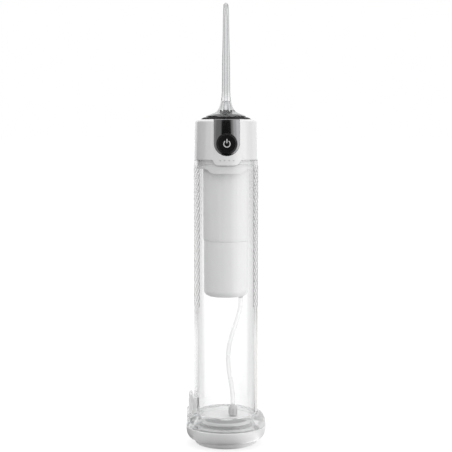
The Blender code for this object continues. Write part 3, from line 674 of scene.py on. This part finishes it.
def wall_brightness(tree, around, rows):
    """The rows as a ramp over one turn, with narrow steps between them."""
    ramp = node(tree, "ShaderNodeValToRGB")
    tree.links.new(around, ramp.inputs["Fac"])
    stops = ramp.color_ramp.elements
    stops[0].position, stops[0].color = 0.0, (rows[0][1],) * 3 + (1,)
    stops[1].position, stops[1].color = 1.0, (rows[-1][1],) * 3 + (1,)
    for (_, before), (angle, value) in zip(rows, rows[1:]):
        share = (angle + 180) / 360
        for place, level in ((share - WALL_STEP, before), (share + WALL_STEP, value)):
            stop = stops.new(place)
            stop.color = (level,) * 3 + (1,)
    return ramp.outputs["Color"]


def walls_group():
    """The brightness of the walls in the direction of a point: as mirrored, and as seen through."""
    made, start, end = group(
        "studio_walls",
        [("Toward", "NodeSocketVector", (0, 0, 0))],
        [("Mirrored", "NodeSocketColor"), ("Through", "NodeSocketColor")],
    )
    spread = node(made, "ShaderNodeSeparateXYZ")
    made.links.new(start.outputs["Toward"], spread.inputs[0])
    front = sums(made, "MULTIPLY", spread.outputs["Y"], -1.0)
    turned = sums(made, "ARCTAN2", spread.outputs["X"], front)
    around = remap(made, turned, -math.pi, math.pi, 0.0, 1.0)
    made.links.new(wall_brightness(made, around, WALLS_MIRRORED), end.inputs["Mirrored"])
    made.links.new(wall_brightness(made, around, WALLS_THROUGH), end.inputs["Through"])
    return made


def build_floor(walls):
    """A pale sheet. The camera sees it evenly white, matt pieces see a pool of light on it that
    grows towards +X, and polished and clear pieces see the walls carried on across it."""
    bpy.ops.object.select_all(action="DESELECT")
    bpy.ops.mesh.primitive_plane_add(size=40, location=(0, 0, -0.0002))
    floor = bpy.context.object
    floor.name = "studio_floor"
    grey = (PAPER_TONE,) * 3
    made = finish_of(
        "studio_paper", grey, 0.9, tone=0.004, gloss=0.02, grain=(400, 0.00002), wear=0.0
    )
    tree = made.node_tree
    paper = tree.nodes["Principled BSDF"]
    paper.inputs["Specular IOR Level"].default_value = 0.0
    seen = node(tree, "ShaderNodeGroup", node_tree=walls)
    here = node(tree, "ShaderNodeTexCoord").outputs["Object"]
    tree.links.new(here, seen.inputs["Toward"])
    far = node(tree, "ShaderNodeVectorMath", operation="LENGTH")
    tree.links.new(here, far.inputs[0])
    fading = remap(tree, far.outputs["Value"], 1.2, 3.5, 1.0, FAR_WALLS)
    dimmed = sums(tree, "MULTIPLY", seen.outputs["Through"], fading)
    rays = node(tree, "ShaderNodeLightPath").outputs
    polished = blend(tree, rays["Is Transmission Ray"], seen.outputs["Mirrored"], dimmed)
    matt = sums(tree, "GREATER_THAN", rays["Diffuse Depth"], 0.5)
    place = node(tree, "ShaderNodeSeparateXYZ")
    tree.links.new(here, place.inputs[0])
    pool = remap(tree, place.outputs["X"], -0.06, 0.08, POOL_LEFT, POOL_RIGHT)
    share = blend(tree, rays["Is Camera Ray"], blend(tree, matt, polished, pool), 1.0)
    tint = node(tree, "ShaderNodeMix", data_type="RGBA", blend_type="MULTIPLY", clamp_result=True)
    tint.inputs[0].default_value = 1.0
    tree.links.new(paper.inputs["Base Color"].links[0].from_socket, tint.inputs[6])
    tree.links.new(share, tint.inputs[7])
    tree.links.new(tint.outputs[2], paper.inputs["Base Color"])
    tree.links.new(share, paper.inputs["Emission Color"])
    paper.inputs["Emission Strength"].default_value = PAPER_GLOW
    floor.data.materials.append(made)


def build_light(walls):
    """A white backdrop for the camera. Polished pieces mirror bright walls with dark flags between
    them, pale walls with narrower dark flags show through the clear ones, and matt pieces get soft
    light that is stronger from +X and from above."""
    world = bpy.data.worlds.new("studio")
    bpy.context.scene.world = world
    world.use_nodes = True
    world.cycles.sampling_method = "NONE"
    tree = world.node_tree
    toward = node(tree, "ShaderNodeTexCoord").outputs["Generated"]
    seen = node(tree, "ShaderNodeGroup", node_tree=walls)
    tree.links.new(toward, seen.inputs["Toward"])
    spread = node(tree, "ShaderNodeSeparateXYZ")
    tree.links.new(toward, spread.inputs[0])
    across, up = spread.outputs["X"], spread.outputs["Z"]
    ceiling = remap(tree, up, 0.5, 0.65, 0.0, 1.0)
    rays = node(tree, "ShaderNodeLightPath").outputs
    mirrored = blend(tree, ceiling, seen.outputs["Mirrored"], CEILING_MIRRORED)
    dimmed = sums(tree, "MULTIPLY", seen.outputs["Through"], FAR_WALLS)
    through = blend(tree, ceiling, dimmed, CEILING_THROUGH)
    polished = blend(tree, rays["Is Transmission Ray"], mirrored, through)
    sides = blend(tree, remap(tree, across, -1.0, 1.0, 0.0, 1.0), SOFT_LEFT, SOFT_RIGHT)
    soft = blend(tree, remap(tree, up, 0.1, 1.0, 0.0, 1.0), sides, SOFT_ABOVE)
    matt = sums(tree, "GREATER_THAN", rays["Diffuse Depth"], 0.5)
    light = blend(tree, matt, polished, soft)
    back = tree.nodes["Background"]
    tree.links.new(blend(tree, rays["Is Camera Ray"], light, 1.0), back.inputs["Color"])
    bpy.context.scene.view_settings.view_transform = "Standard"


# ---- Tank and base -----------------------------------------------------------------------------


def build_tank():
    rows = int((GRIP_HIGH - GRIP_LOW) / GRIP_ROW)
    outline = [(TUBE_BORE, TUBE_LOW), (TUBE_R, TUBE_LOW), (TUBE_R, 60.0)]
    outline += [(TUBE_R, GRIP_LOW + k * GRIP_ROW) for k in range(rows + 1)]
    outline += [(TUBE_R, TUBE_TOP - 0.3), (TUBE_R - 0.3, TUBE_TOP), (TUBE_BORE + 0.3, TUBE_TOP)]
    outline += [(TUBE_BORE, TUBE_TOP - 0.3)]
    tube = turn("clear_tube", outline, TUBE_SIDES)
    add_grips(tube)

    inner = TUBE_R - 0.5
    pad = turn(
        "port_pad",
        [(inner, 22.7), (23.7, 22.7), (23.7, 32.6), (23.1, 33.2), (inner, 33.2)],
        TUBE_SIDES,
    )
    within(pad, box("pad_keep", (-30, -PORT_HALF_WIDTH, 0), (-10, PORT_HALF_WIDTH, 60)))
    hole = drum("pad_hole", PORT_HOLE_R, -30, -15, 64, "X", (0, 0, PORT_Z))
    cut(pad, hole, drum("pad_bore", TUBE_R + 0.02, 0, 60, TUBE_SIDES))
    complete(pad, CLEAR_DOOR, "tank", angle=30)
    cut(
        tube,
        drum("port_hole", PORT_HOLE_R, -30, -15, 64, "X", (0, 0, PORT_Z)),
        tapered("notch", 11.5, 7.5, TUBE_TOP + 1, TONGUE_LOW - 0.3, -TUBE_R - 3, -12, 1.5),
    )
    complete(tube, CLEAR_TANK, "tank", "tank_tube", slot="clear_plastic", angle=30)


def add_grips(tube):
    """Raised diamonds on the tube's two sides, in a staggered lattice that repeats every four of
    the tube's flats and every four rows. Each is raised in steps, from its foot to its top."""
    alone(tube)
    bpy.ops.object.mode_set(mode="EDIT")

    def off_side(point):
        """Degrees round from the nearer of the tube's two sides."""
        return math.degrees(math.atan2(point.y, abs(point.x)))

    def in_grip(point, facing):
        outside = math.hypot(point.x, point.y) > TUBE_R - 0.5
        near_side = abs(off_side(point)) < GRIP_HALF_ANGLE
        return outside and near_side and GRIP_LOW < point.z < GRIP_HIGH - 1

    choose(tube, in_grip)
    bpy.ops.mesh.subdivide(number_cuts=1)
    column = 360 / TUBE_SIDES

    def reach(point):
        """How far a point is from the middle of its diamond, in half rows and half columns."""
        across, up = off_side(point) / column, (point.z - GRIP_LOW) / GRIP_ROW
        return min(
            abs((across - shift + 2) % 4 - 2) * 2 + abs((up - shift + 2) % 4 - 2) * 2
            for shift in (0, 2)
        )

    for limit, share in GRIP_STEPS:

        def in_step(point, facing):
            inside = abs(off_side(point)) < GRIP_HALF_ANGLE - GRIP_MARGIN
            return inside and in_grip(point, facing) and reach(point) < limit

        choose(tube, in_step, "VERT")
        bpy.ops.transform.shrink_fatten(value=share * GRIP_HEIGHT * MM)
    bpy.ops.object.mode_set(mode="OBJECT")


def build_base():
    outer = shoulder(SEAT_R, BASE_R, COLLAR_LOW, COLLAR_TOP, 2.2, True)
    collar = turn("clear_collar", [(SEAT_R, COLLAR_LOW), *outer[:-1], (SEAT_R, COLLAR_TOP)])
    for side in (-1, 1):
        low, high = sorted((side * 8.9, side * 11.3))
        ear = drum(f"ear_{side}", 1.9, low, high, 48, "Y", (HINGE_X, 0, HINGE_Z))
        post = box(
            f"post_{side}",
            (HINGE_X - 1.85, low, COLLAR_LOW + 0.5),
            (HINGE_X + 1.85, high, HINGE_Z - 0.2),
        )
        fuse(collar, ear, post)
    cut(
        collar,
        box("door_pocket", (-31, -8.55, 19.4), (-18, 8.55, 30)),
        drum("hinge_bore", 0.95, -14, 14, 32, "Y", (HINGE_X, 0, HINGE_Z)),
        drum("tube_seat", SEAT_R, 20, 30, ROUND),
    )
    complete(collar, CLEAR_COLLAR, "tank", "base_collar", slot="clear_plastic", angle=30)

    cup = turn(
        "milky_cup",
        [
            (0, FLOOR_Z - 3),
            (14.5, FLOOR_Z - 3),
            (14.5, CUP_LOW + 0.2),
            (22.0, CUP_LOW + 0.2),
            *reversed(shoulder(22.0, BASE_R, CUP_LOW, CUP_TOP - 0.15, 2.5, False)[:-1]),
            (BASE_R - 0.25, CUP_TOP),
            (22.4, CUP_TOP),
            (22.4, 8.9),
            (19.65, 8.9),
            (19.65, 13.4),
            (18.3, 13.4),
            (18.3, 15.6),
            (19.65, 15.6),
            (19.65, 17.1),
            (19.65, FLOOR_Z - 0.5),
            (19.4, FLOOR_Z - 0.1),
            (18.9, FLOOR_Z),
            (6.0, FLOOR_Z + 0.25),
            (0, FLOOR_Z + 0.3),
        ],
    )
    soften(cup, 0.15, 2)
    complete(cup, MILKY, "tank", "base_cup", slot="milky_plastic")

    # A dark band painted round the top of the cup's spigot, where the tube's wall stands close to
    # it. It is painted shade for the shadow between the two parts, not a seal, and uses the seal's
    # dark finish.
    def in_shade_band(middle):
        return math.hypot(middle.x, middle.y) > 19.2 and 17.0 < middle.z < FLOOR_Z - 0.2

    paint(cup, DARK_SEAL_AND_SHADE, in_shade_band)

    foot = turn(
        "soft_foot",
        [
            (15.2, 0.5),
            (15.2, FOOT_TOP),
            (FOOT_R - 0.2, FOOT_TOP),
            (FOOT_R, FOOT_TOP - 0.3),
            *shoulder(18.8, FOOT_R, 0.0, 3.0, 2.0, False, 12),
            (15.7, 0),
        ],
    )
    complete(foot, FOOT_RUBBER, "tank", "foot_ring", slot="foot_rubber")
    seal = turn("tank_seal", circle_outline(19.1, 14.5, 0.6, 12), 96)
    complete(seal, DARK_SEAL_AND_SHADE, "tank", "base_seal", slot="silicone")


def circle_outline(radius, height, section, sides):
    """The outline of a ring with a round section."""
    angles = [k * math.tau / sides for k in range(sides)]
    return [(radius + section * math.cos(a), height + section * math.sin(a)) for a in angles]


def build_port_door():
    hinge = (HINGE_X, 0, HINGE_Z)
    door = turn(
        "fill_door",
        [(24.05, 20.8), (25.95, 20.8), (25.95, 34.9), (25.5, 35.5), (25.15, 35.5), (24.05, 32.6)],
        TUBE_SIDES,
    )
    within(door, box("door_keep", (-30, -PORT_HALF_WIDTH, 0), (-10, PORT_HALF_WIDTH, 60)))
    fuse(door, drum("knuckle", 1.55, -PORT_HALF_WIDTH, PORT_HALF_WIDTH, 48, "Y", hinge))
    cut(door, drum("knuckle_bore", 0.85, -12, 12, 32, "Y", hinge))
    soften(door, 0.15, 2)
    complete(door, CLEAR_DOOR, "fill_door", "port_door", slot="clear_plastic", angle=30)
    plug = turn(
        "fill_plug",
        [
            (0, -23.9),
            (3.6, -23.9),
            (3.6, -23.0),
            (3.75, -22.6),
            (3.5, -22.0),
            (2.9, -21.2),
            (1.8, -20.75),
            (0, -20.6),
        ],
        64,
        "X",
        (0, 0, PORT_Z),
    )
    complete(plug, SILICONE, "fill_door", "port_plug", slot="silicone")
    pin = turn(
        "door_pin",
        [(0, -11.0), (0.45, -11.0), (0.7, -10.75), (0.7, 10.75), (0.45, 11.0), (0, 11.0)],
        32,
        "Y",
        hinge,
    )
    complete(pin, CLEAR_DOOR, "tank", "hinge_pin", slot="clear_plastic")


# ---- Housing -----------------------------------------------------------------------------------


def u_block(name, half_width, near, far, top):
    """A block with a half-round lower end, as deep as near to far."""
    piece = drum(name, half_width, near, far, 96, "Y", (0, 0, PANEL_ARC_Z))
    return fuse(piece, box(name + "_top", (-half_width, near, PANEL_ARC_Z), (half_width, far, top)))


def build_housing():
    shell = turn(
        "white_housing",
        [
            (20.0, HOUSING_LOW),
            (HOUSING_LOW_R - 0.15, HOUSING_LOW),
            (HOUSING_LOW_R, HOUSING_LOW + 0.15),
            (HOUSING_TOP_R, HOUSING_TOP - 2.1),
            (21.1, HOUSING_TOP - 1.75),
            (20.95, HOUSING_TOP - 1.35),
            (20.6, HOUSING_TOP - 0.95),
            (20.1, HOUSING_TOP - 0.68),
            (19.4, HOUSING_TOP - 0.45),
            (DISC_R + 0.12, HOUSING_TOP),
            (DISC_R + 0.12, HOUSING_TOP - 1.9),
            (19.2, HOUSING_TOP - 2.4),
        ],
        144,
    )
    tongue = turn(
        "tongue",
        [(20.0, TONGUE_LOW), (HOUSING_LOW_R, TONGUE_LOW), (HOUSING_LOW_R, 199.0), (20.0, 199.0)],
        144,
    )
    within(tongue, tapered("tongue_keep", 10.9, 7.2, HOUSING_LOW + 1.5, TONGUE_LOW, -26, -12, 1.5))
    fuse(shell, tongue)
    recess = turn("recess", [(20.9, 198.1), (24, 198.1), (24, 205.2), (20.9, 205.2)], 144)
    within(recess, box("recess_keep", (-6.9, 10, 190), (6.9, 26, 210)))
    cut(
        shell,
        u_block("panel_window", PANEL_HALF_WIDTH + 0.12, -26, -12, 240),
        recess,
        box("charge_hole", (-4.6, 17, 199.6), (4.6, 24, 203.9)),
    )
    soften(shell, 0.12, 2, 50)
    complete(shell, GLOSS_WHITE, "pump_unit", "housing_shell", slot="white_plastic", angle=30)

    panel = turn(
        "chrome_panel",
        [
            (20.1, 199.0),
            (HOUSING_LOW_R - 0.05, 199.0),
            (HOUSING_TOP_R - 0.04, HOUSING_TOP - 0.5),
            (HOUSING_TOP_R - 0.2, HOUSING_TOP - 0.2),
            (HOUSING_TOP_R - 0.5, HOUSING_TOP - 0.05),
            (DISC_R, HOUSING_TOP + 0.12),
            (7.9, HOUSING_TOP + 0.2),
            (7.9, HOUSING_TOP - 1.3),
            (DISC_R, HOUSING_TOP - 1.5),
            (19.3, HOUSING_TOP - 2.3),
        ],
        144,
    )
    keep = u_block("panel_keep", PANEL_HALF_WIDTH, -26, -12, 232)
    fuse(keep, drum("disc_keep", DISC_R, HOUSING_TOP - 2.0, 231, 144))
    within(panel, keep)
    cut(panel, drum("button_hole", 7.15, -26, -12, 96, "Y", (0, 0, BUTTON_Z)))
    soften(panel, 0.1, 2, 50)
    complete(panel, DARK_CHROME, "pump_unit", "trim_panel", slot="dark_chrome", angle=30)
    lip = turn(
        "dial_lip",
        [
            (14.4, HOUSING_TOP),
            (16.9, HOUSING_TOP),
            (16.7, 224.7),
            (16.0, 225.15),
            (14.8, 225.6),
            (14.4, 225.6),
        ],
        144,
    )
    complete(lip, MATT_BLACK, "pump_unit")

    bezel = turn(
        "button_ring",
        [
            (6.62, -22.0),
            (6.75, -22.12),
            (6.95, -22.05),
            (7.05, -21.8),
            (7.05, -20.2),
            (6.62, -20.2),
        ],
        96,
        "Y",
        (0, 0, BUTTON_Z),
    )
    complete(bezel, SMOKED_RING, "pump_unit", "button_bezel", slot="dark_chrome")
    cap = turn(
        "power_cap",
        [
            (0, -22.05),
            (2.0, -22.07),
            (4.0, -22.13),
            (5.6, -22.2),
            (6.1, -22.18),
            (6.35, -22.05),
            (BUTTON_R, -21.8),
            (BUTTON_R, -19.7),
            (2.0, -19.7),
            (2.0, -16.4),
            (0, -16.4),
        ],
        96,
        "Y",
        (0, 0, BUTTON_Z),
    )
    complete(cap, GLOSS_BLACK, "power_button", "button_cap", slot="black_plastic")
    build_power_icon()
    inner, outer = HOUSING_LOW_R - 0.1, HOUSING_LOW_R + 0.02
    for k, x in enumerate((-4.5, -1.5, 1.5, 4.5)):
        dot = turn(f"mark_{k}", [(inner, 195), (outer, 195), (outer, 199), (inner, 199)], 288)
        within(dot, drum(f"mark_keep_{k}", 0.42, -26, -16, 24, "Y", (x, 0, 196.7)))
        complete(dot, PRINT, "pump_unit")


def build_power_icon():
    """An open ring and a short bar, standing about 0.1 mm out of the cap."""
    face = -22.18
    back = face + 0.16
    outline = [(1.8, face), (2.45, face), (2.45, back), (1.8, back)]
    ring = turn("power_ring", outline, 96, "Y", (0, 0, BUTTON_Z))
    cut(ring, box("ring_gap", (-1.15, face - 1, BUTTON_Z + 0.3), (1.15, face + 1, BUTTON_Z + 4)))
    bar = box("power_bar", (-0.36, face, BUTTON_Z + 0.5), (0.36, back, BUTTON_Z + 3.2))
    for piece in (ring, bar):
        soften(piece, 0.06, 2)
        complete(piece, ICON, "power_button")


def build_charge_cover():
    flap = turn("charge_cover", [(21.15, 198.4), (21.7, 198.4), (21.7, 204.9), (21.15, 204.9)], 288)
    within(flap, box("flap_keep", (-6.6, 10, 190), (6.6, 26, 210)))
    fuse(flap, box("flap_tongue", (-3.6, 19.5, 200.4), (3.6, 21.4, 202.9)))
    soften(flap, 0.12, 2, 50)
    complete(flap, SILICONE, "charge_cover", "charge_flap", slot="silicone", angle=30)


# ---- Core, hose and nozzle ---------------------------------------------------------------------


def build_core():
    collar = turn(
        "core_collar_ring",
        [
            (15.9, 190.9),
            (CORE_COLLAR_R, 190.9),
            (CORE_COLLAR_R, 192.9),
            (18.4, 192.9),
            (18.4, 194.0),
            (CORE_COLLAR_R, 194.0),
            (CORE_COLLAR_R, 199.5),
            (15.9, 199.5),
        ],
    )
    chin = turn(
        "chin",
        [(15.9, CHIN_LOW), (CORE_COLLAR_R, CHIN_LOW), (CORE_COLLAR_R, 192.0), (15.9, 192.0)],
    )
    within(chin, tapered("chin_keep", 14.2, 9.4, 191.5, CHIN_LOW, -22, -8, 1.5))
    fuse(collar, chin)
    soften(collar, 0.2, 3, 50)
    complete(collar, CORE_SATIN, "pump_unit", "core_collar", slot="core_plastic", angle=30)
    seal = turn("collar_ring_seal", circle_outline(19.05, 193.45, 0.54, 16), 128)
    complete(seal, CORE_SATIN, "pump_unit", "collar_seal", slot="silicone")

    upper = turn(
        "core_upper",
        [
            (14.1, CORE_SEAM),
            (CORE_R - 0.38, CORE_SEAM),
            (CORE_R - 0.2, CORE_SEAM + 0.6),
            (CORE_R - 0.05, CORE_SEAM + 1.3),
            (CORE_R, CORE_SEAM + 2.0),
            (CORE_R, CORE_TOP),
            (14.1, CORE_TOP),
        ],
    )
    complete(upper, CORE_SATIN, "pump_unit", "case_upper", slot="core_plastic")
    low_edge = shoulder(CORE_LOWER_R - 4.5, CORE_LOWER_R, CORE_LOW, CORE_LOW + 4.5, 2.0, False, 16)
    lower = turn(
        "core_lower",
        [
            (0, CORE_LOW),
            *reversed(low_edge),
            (CORE_LOWER_R, CORE_SEAM - 0.16),
            (CORE_LOWER_R - 0.08, CORE_SEAM - 0.08),
            (13.8, CORE_SEAM - 0.08),
            (13.8, 146.0),
            (12.4, 146.0),
            (12.4, 139.5),
            (13.7, 138.0),
            (13.7, 106.4),
            (12.7, 105.0),
            (0, CORE_LOW + 1.8),
        ],
    )
    cut(lower, drum("barb_hole", 1.85, 100, 107, 32, "Z", (BARB_X, 0, 0)))
    complete(lower, CORE_SATIN, "pump_unit", "case_lower", slot="core_plastic")
    barb = turn(
        "hose_nipple",
        [
            (0, 101.8),
            (1.55, 101.8),
            (1.7, 102.0),
            (1.7, 105.3),
            (2.3, 105.3),
            (2.3, 106.0),
            (0, 106.0),
        ],
        48,
        "Z",
        (BARB_X, 0, 0),
    )
    complete(barb, SILICONE, "pump_unit", "hose_barb", slot="silicone")


# Points that the hose passes, from the nipple down to the strainer
HOSE_ROUTE = [
    (BARB_X, 0, 101.5),
    (9.9, -0.2, 96.0),
    (7.3, -1.0, 86.0),
    (4.3, -1.8, 77.0),
    (2.1, -2.2, 68.5),
    (1.4, -2.0, 58.5),
    (2.2, -1.4, 49.5),
    (3.6, -0.7, 41.5),
    (4.6, -0.1, 33.0),
    (FILTER_X, 0, 27.0),
]


def build_hose():
    data = bpy.data.curves.new("clear_hose", "CURVE")
    data.dimensions = "3D"
    line = data.splines.new("BEZIER")
    line.bezier_points.add(len(HOSE_ROUTE) - 1)
    for knot, point in zip(line.bezier_points, HOSE_ROUTE):
        knot.co = Vector(point) * MM
        knot.handle_left_type = knot.handle_right_type = "AUTO"
    data.resolution_u = 10
    data.bevel_depth = HOSE_R * MM
    data.bevel_resolution = 6
    data.use_fill_caps = True
    data.materials.append(HOSE_SILICONE)
    hose = bpy.data.objects.new("clear_hose", data)
    bpy.context.scene.collection.objects.link(hose)
    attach(hose, "pump_unit")
    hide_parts("suction_hose")

    strainer = turn(
        "hose_strainer",
        [
            (0, 19.35),
            (2.3, 19.35),
            (2.6, 19.5),
            (3.05, 20.0),
            (3.1, 20.3),
            (3.1, 24.4),
            (2.9, 24.9),
            (2.4, 25.6),
            (1.6, 26.6),
            (0, 26.65),
        ],
        64,
        "Z",
        (FILTER_X, 0, 0),
    )
    for k in range(8):
        slit = box(f"slit_{k}", (2.3, -0.28, 20.6), (4.0, 0.28, 24.0))
        slit.rotation_euler = (0, 0, k * math.tau / 8)
        slit.location = (FILTER_X * MM, 0, 0)
        place_in_mesh(slit)
        cut(strainer, slit)
    complete(strainer, SILICONE, "pump_unit", "intake_filter", slot="silicone", angle=30)


# (height, radius) points of the nozzle's outer side, from its flange up to the bend
NOZZLE_PROFILE = [
    (226.0, 13.6),
    (226.15, 13.75),
    (226.4, 13.65),
    (226.8, 12.95),
    (227.2, 12.0),
    (227.7, 10.9),
    (228.2, 9.6),
    (228.7, 8.3),
    (229.3, 7.0),
    (230.0, 6.15),
    (231.0, 5.4),
    (232.3, 4.75),
    (234.0, 4.1),
    (235.6, 3.65),
    (237.4, 3.3),
    (240.0, 3.02),
    (243.0, 2.87),
    (248.0, 2.83),
    (264.3, 2.72),
    (272.4, 2.45),
    (280.0, 2.25),
    (BEND_Z, 2.0),
]


def bent_up(piece, radii):
    """Carries the piece's open upper edge on round the bend, one ring for each radius after the
    first, then straight on to the last, and closes it."""
    alone(piece)
    bpy.ops.object.mode_set(mode="EDIT")
    choose(piece, lambda middle, facing: middle.z > BEND_Z - 0.01, "EDGE")
    pivot = Vector((0, BEND_R, BEND_Z)) * MM
    step = BEND_ANGLE / (len(radii) - 2)
    heading, centre, last = 0.0, Vector((0, 0, BEND_Z)), radii[0]
    for k, radius in enumerate(radii[1:]):
        if k == len(radii) - 2:
            move = Vector((0, math.sin(heading), math.cos(heading))) * TIP_LENGTH
            bpy.ops.mesh.extrude_edges_move(TRANSFORM_OT_translate={"value": move * MM})
            centre += move
        else:
            bpy.ops.mesh.extrude_edges_move(TRANSFORM_OT_translate={"value": (0, 0, 0)})
            bpy.ops.transform.rotate(value=step, orient_axis="X", center_override=pivot)
            heading += step
            across, up = BEND_R * (1 - math.cos(heading)), BEND_R * math.sin(heading)
            centre = Vector((0, across, BEND_Z + up))
        bpy.ops.transform.resize(value=(radius / last,) * 3, center_override=centre * MM)
        last = radius
    bpy.ops.mesh.edge_face_add()
    bpy.ops.mesh.select_all(action="SELECT")
    bpy.ops.mesh.normals_make_consistent(inside=False)
    bpy.ops.object.mode_set(mode="OBJECT")


def open_tube(name, points, around):
    """A tube with a closed lower end and an open upper one, from (radius, height) points."""
    piece = drawn_up(name, points, around, True)
    bpy.ops.object.mode_set(mode="OBJECT")
    return piece


# (radius, height) points of the nozzle's closed foot, and of the hollow under its flange
NOZZLE_FOOT = [
    (2.55, 211.6),
    (2.85, 212.2),
    (2.85, 213.3),
    (2.2, 213.35),
    (2.2, 214.65),
    (2.85, 214.7),
    (2.85, 228.6),
]
NOZZLE_HOLLOW = [
    (1.75, 230.6),
    (1.75, 236.3),
    (2.15, 236.5),
    (2.5, 235.6),
    (3.0, 234.0),
    (3.65, 232.3),
    (4.3, 231.0),
    (5.2, 229.8),
    (6.6, 228.7),
    (8.6, 227.7),
    (11.0, 226.85),
    (12.4, 226.0),
]


def build_nozzle():
    outer = [(radius, height) for height, radius in NOZZLE_PROFILE]
    nozzle = open_tube("clear_nozzle", NOZZLE_FOOT + NOZZLE_HOLLOW + outer, 64)
    bent_up(nozzle, [2.0 - 0.045 * k for k in range(BEND_RINGS)] + [TIP_R])
    channel = [(NOZZLE_BORE_R, 210.0), (NOZZLE_BORE_R, 292.0), (JET_R, BEND_Z)]
    bore = open_tube("nozzle_bore", channel, 32)
    bent_up(bore, [JET_R] * (BEND_RINGS + 1))
    cut(nozzle, bore)
    complete(nozzle, CLEAR_NOZZLE, "jet_nozzle", "nozzle", slot="clear_plastic", angle=30)
    collar = turn(
        "nozzle_dial",
        [
            (3.25, 221.7),
            (7.0, 221.7),
            (7.6, 222.3),
            (7.6, 224.6),
            (14.1, 224.6),
            (14.2, 224.7),
            (14.2, 225.4),
            (13.9, 225.7),
            (12.6, 225.9),
            (12.0, 225.95),
            (11.0, 226.4),
            (9.6, 226.75),
            (3.4, 226.75),
            (3.25, 226.6),
        ],
        96,
    )
    for k in range(6):
        fin = tapered(f"fin_{k}", 0.15, 0.3, 230.3, 226.5, 3.4, 4.7, 0.1)
        fin.rotation_euler = (0, 0, k * math.tau / 6)
        place_in_mesh(fin)
        fuse(collar, fin)
    complete(collar, MATT_BLACK, "nozzle_dial", "nozzle_collar", slot="black_plastic")


# ---- Carried-over nodes ------------------------------------------------------------------------

CARRIED = {
    "usb_socket": STEEL,
    "motor_can": STEEL,
    "motor_rotor": STEEL,
    "gear_axle": STEEL,
    "battery_tab_bottom": STEEL,
    "battery_tab_top": STEEL,
    "cover_screw_left": STEEL,
    "cover_screw_right": STEEL,
    "motor_endcap": CHIP,
    "control_chip": CHIP,
    "tact_switch": CHIP,
    "magnet_front": MAGNET,
    "magnet_back": MAGNET,
    "battery_cell": CELL,
    "control_board": BOARD,
    "pinion": ACETAL,
    "crown_gear": ACETAL,
    "connecting_rod": ACETAL,
    "piston": ACETAL,
    "gear_frame": CORE_SATIN,
    "pump_barrel": CORE_SATIN,
    "valve_block": CORE_SATIN,
    "valve_cover": CORE_SATIN,
    "nozzle_socket": CORE_SATIN,
    "button_boot": SILICONE,
    "case_seal": SILICONE,
    "inlet_tube": SILICONE,
    "piston_cup": SILICONE,
    "inlet_valve": SILICONE,
    "outlet_valve": SILICONE,
    "nozzle_seal": SILICONE,
}


def dress_carried():
    for name, finish in CARRIED.items():
        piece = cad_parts[name]
        piece.data.materials.clear()
        piece.data.materials.append(finish)


build_camera()
build_hose()
walls = walls_group()
build_floor(walls)
build_light(walls)
build_tank()
build_base()
build_port_door()
build_housing()
build_charge_cover()
build_core()
build_nozzle()
dress_carried()
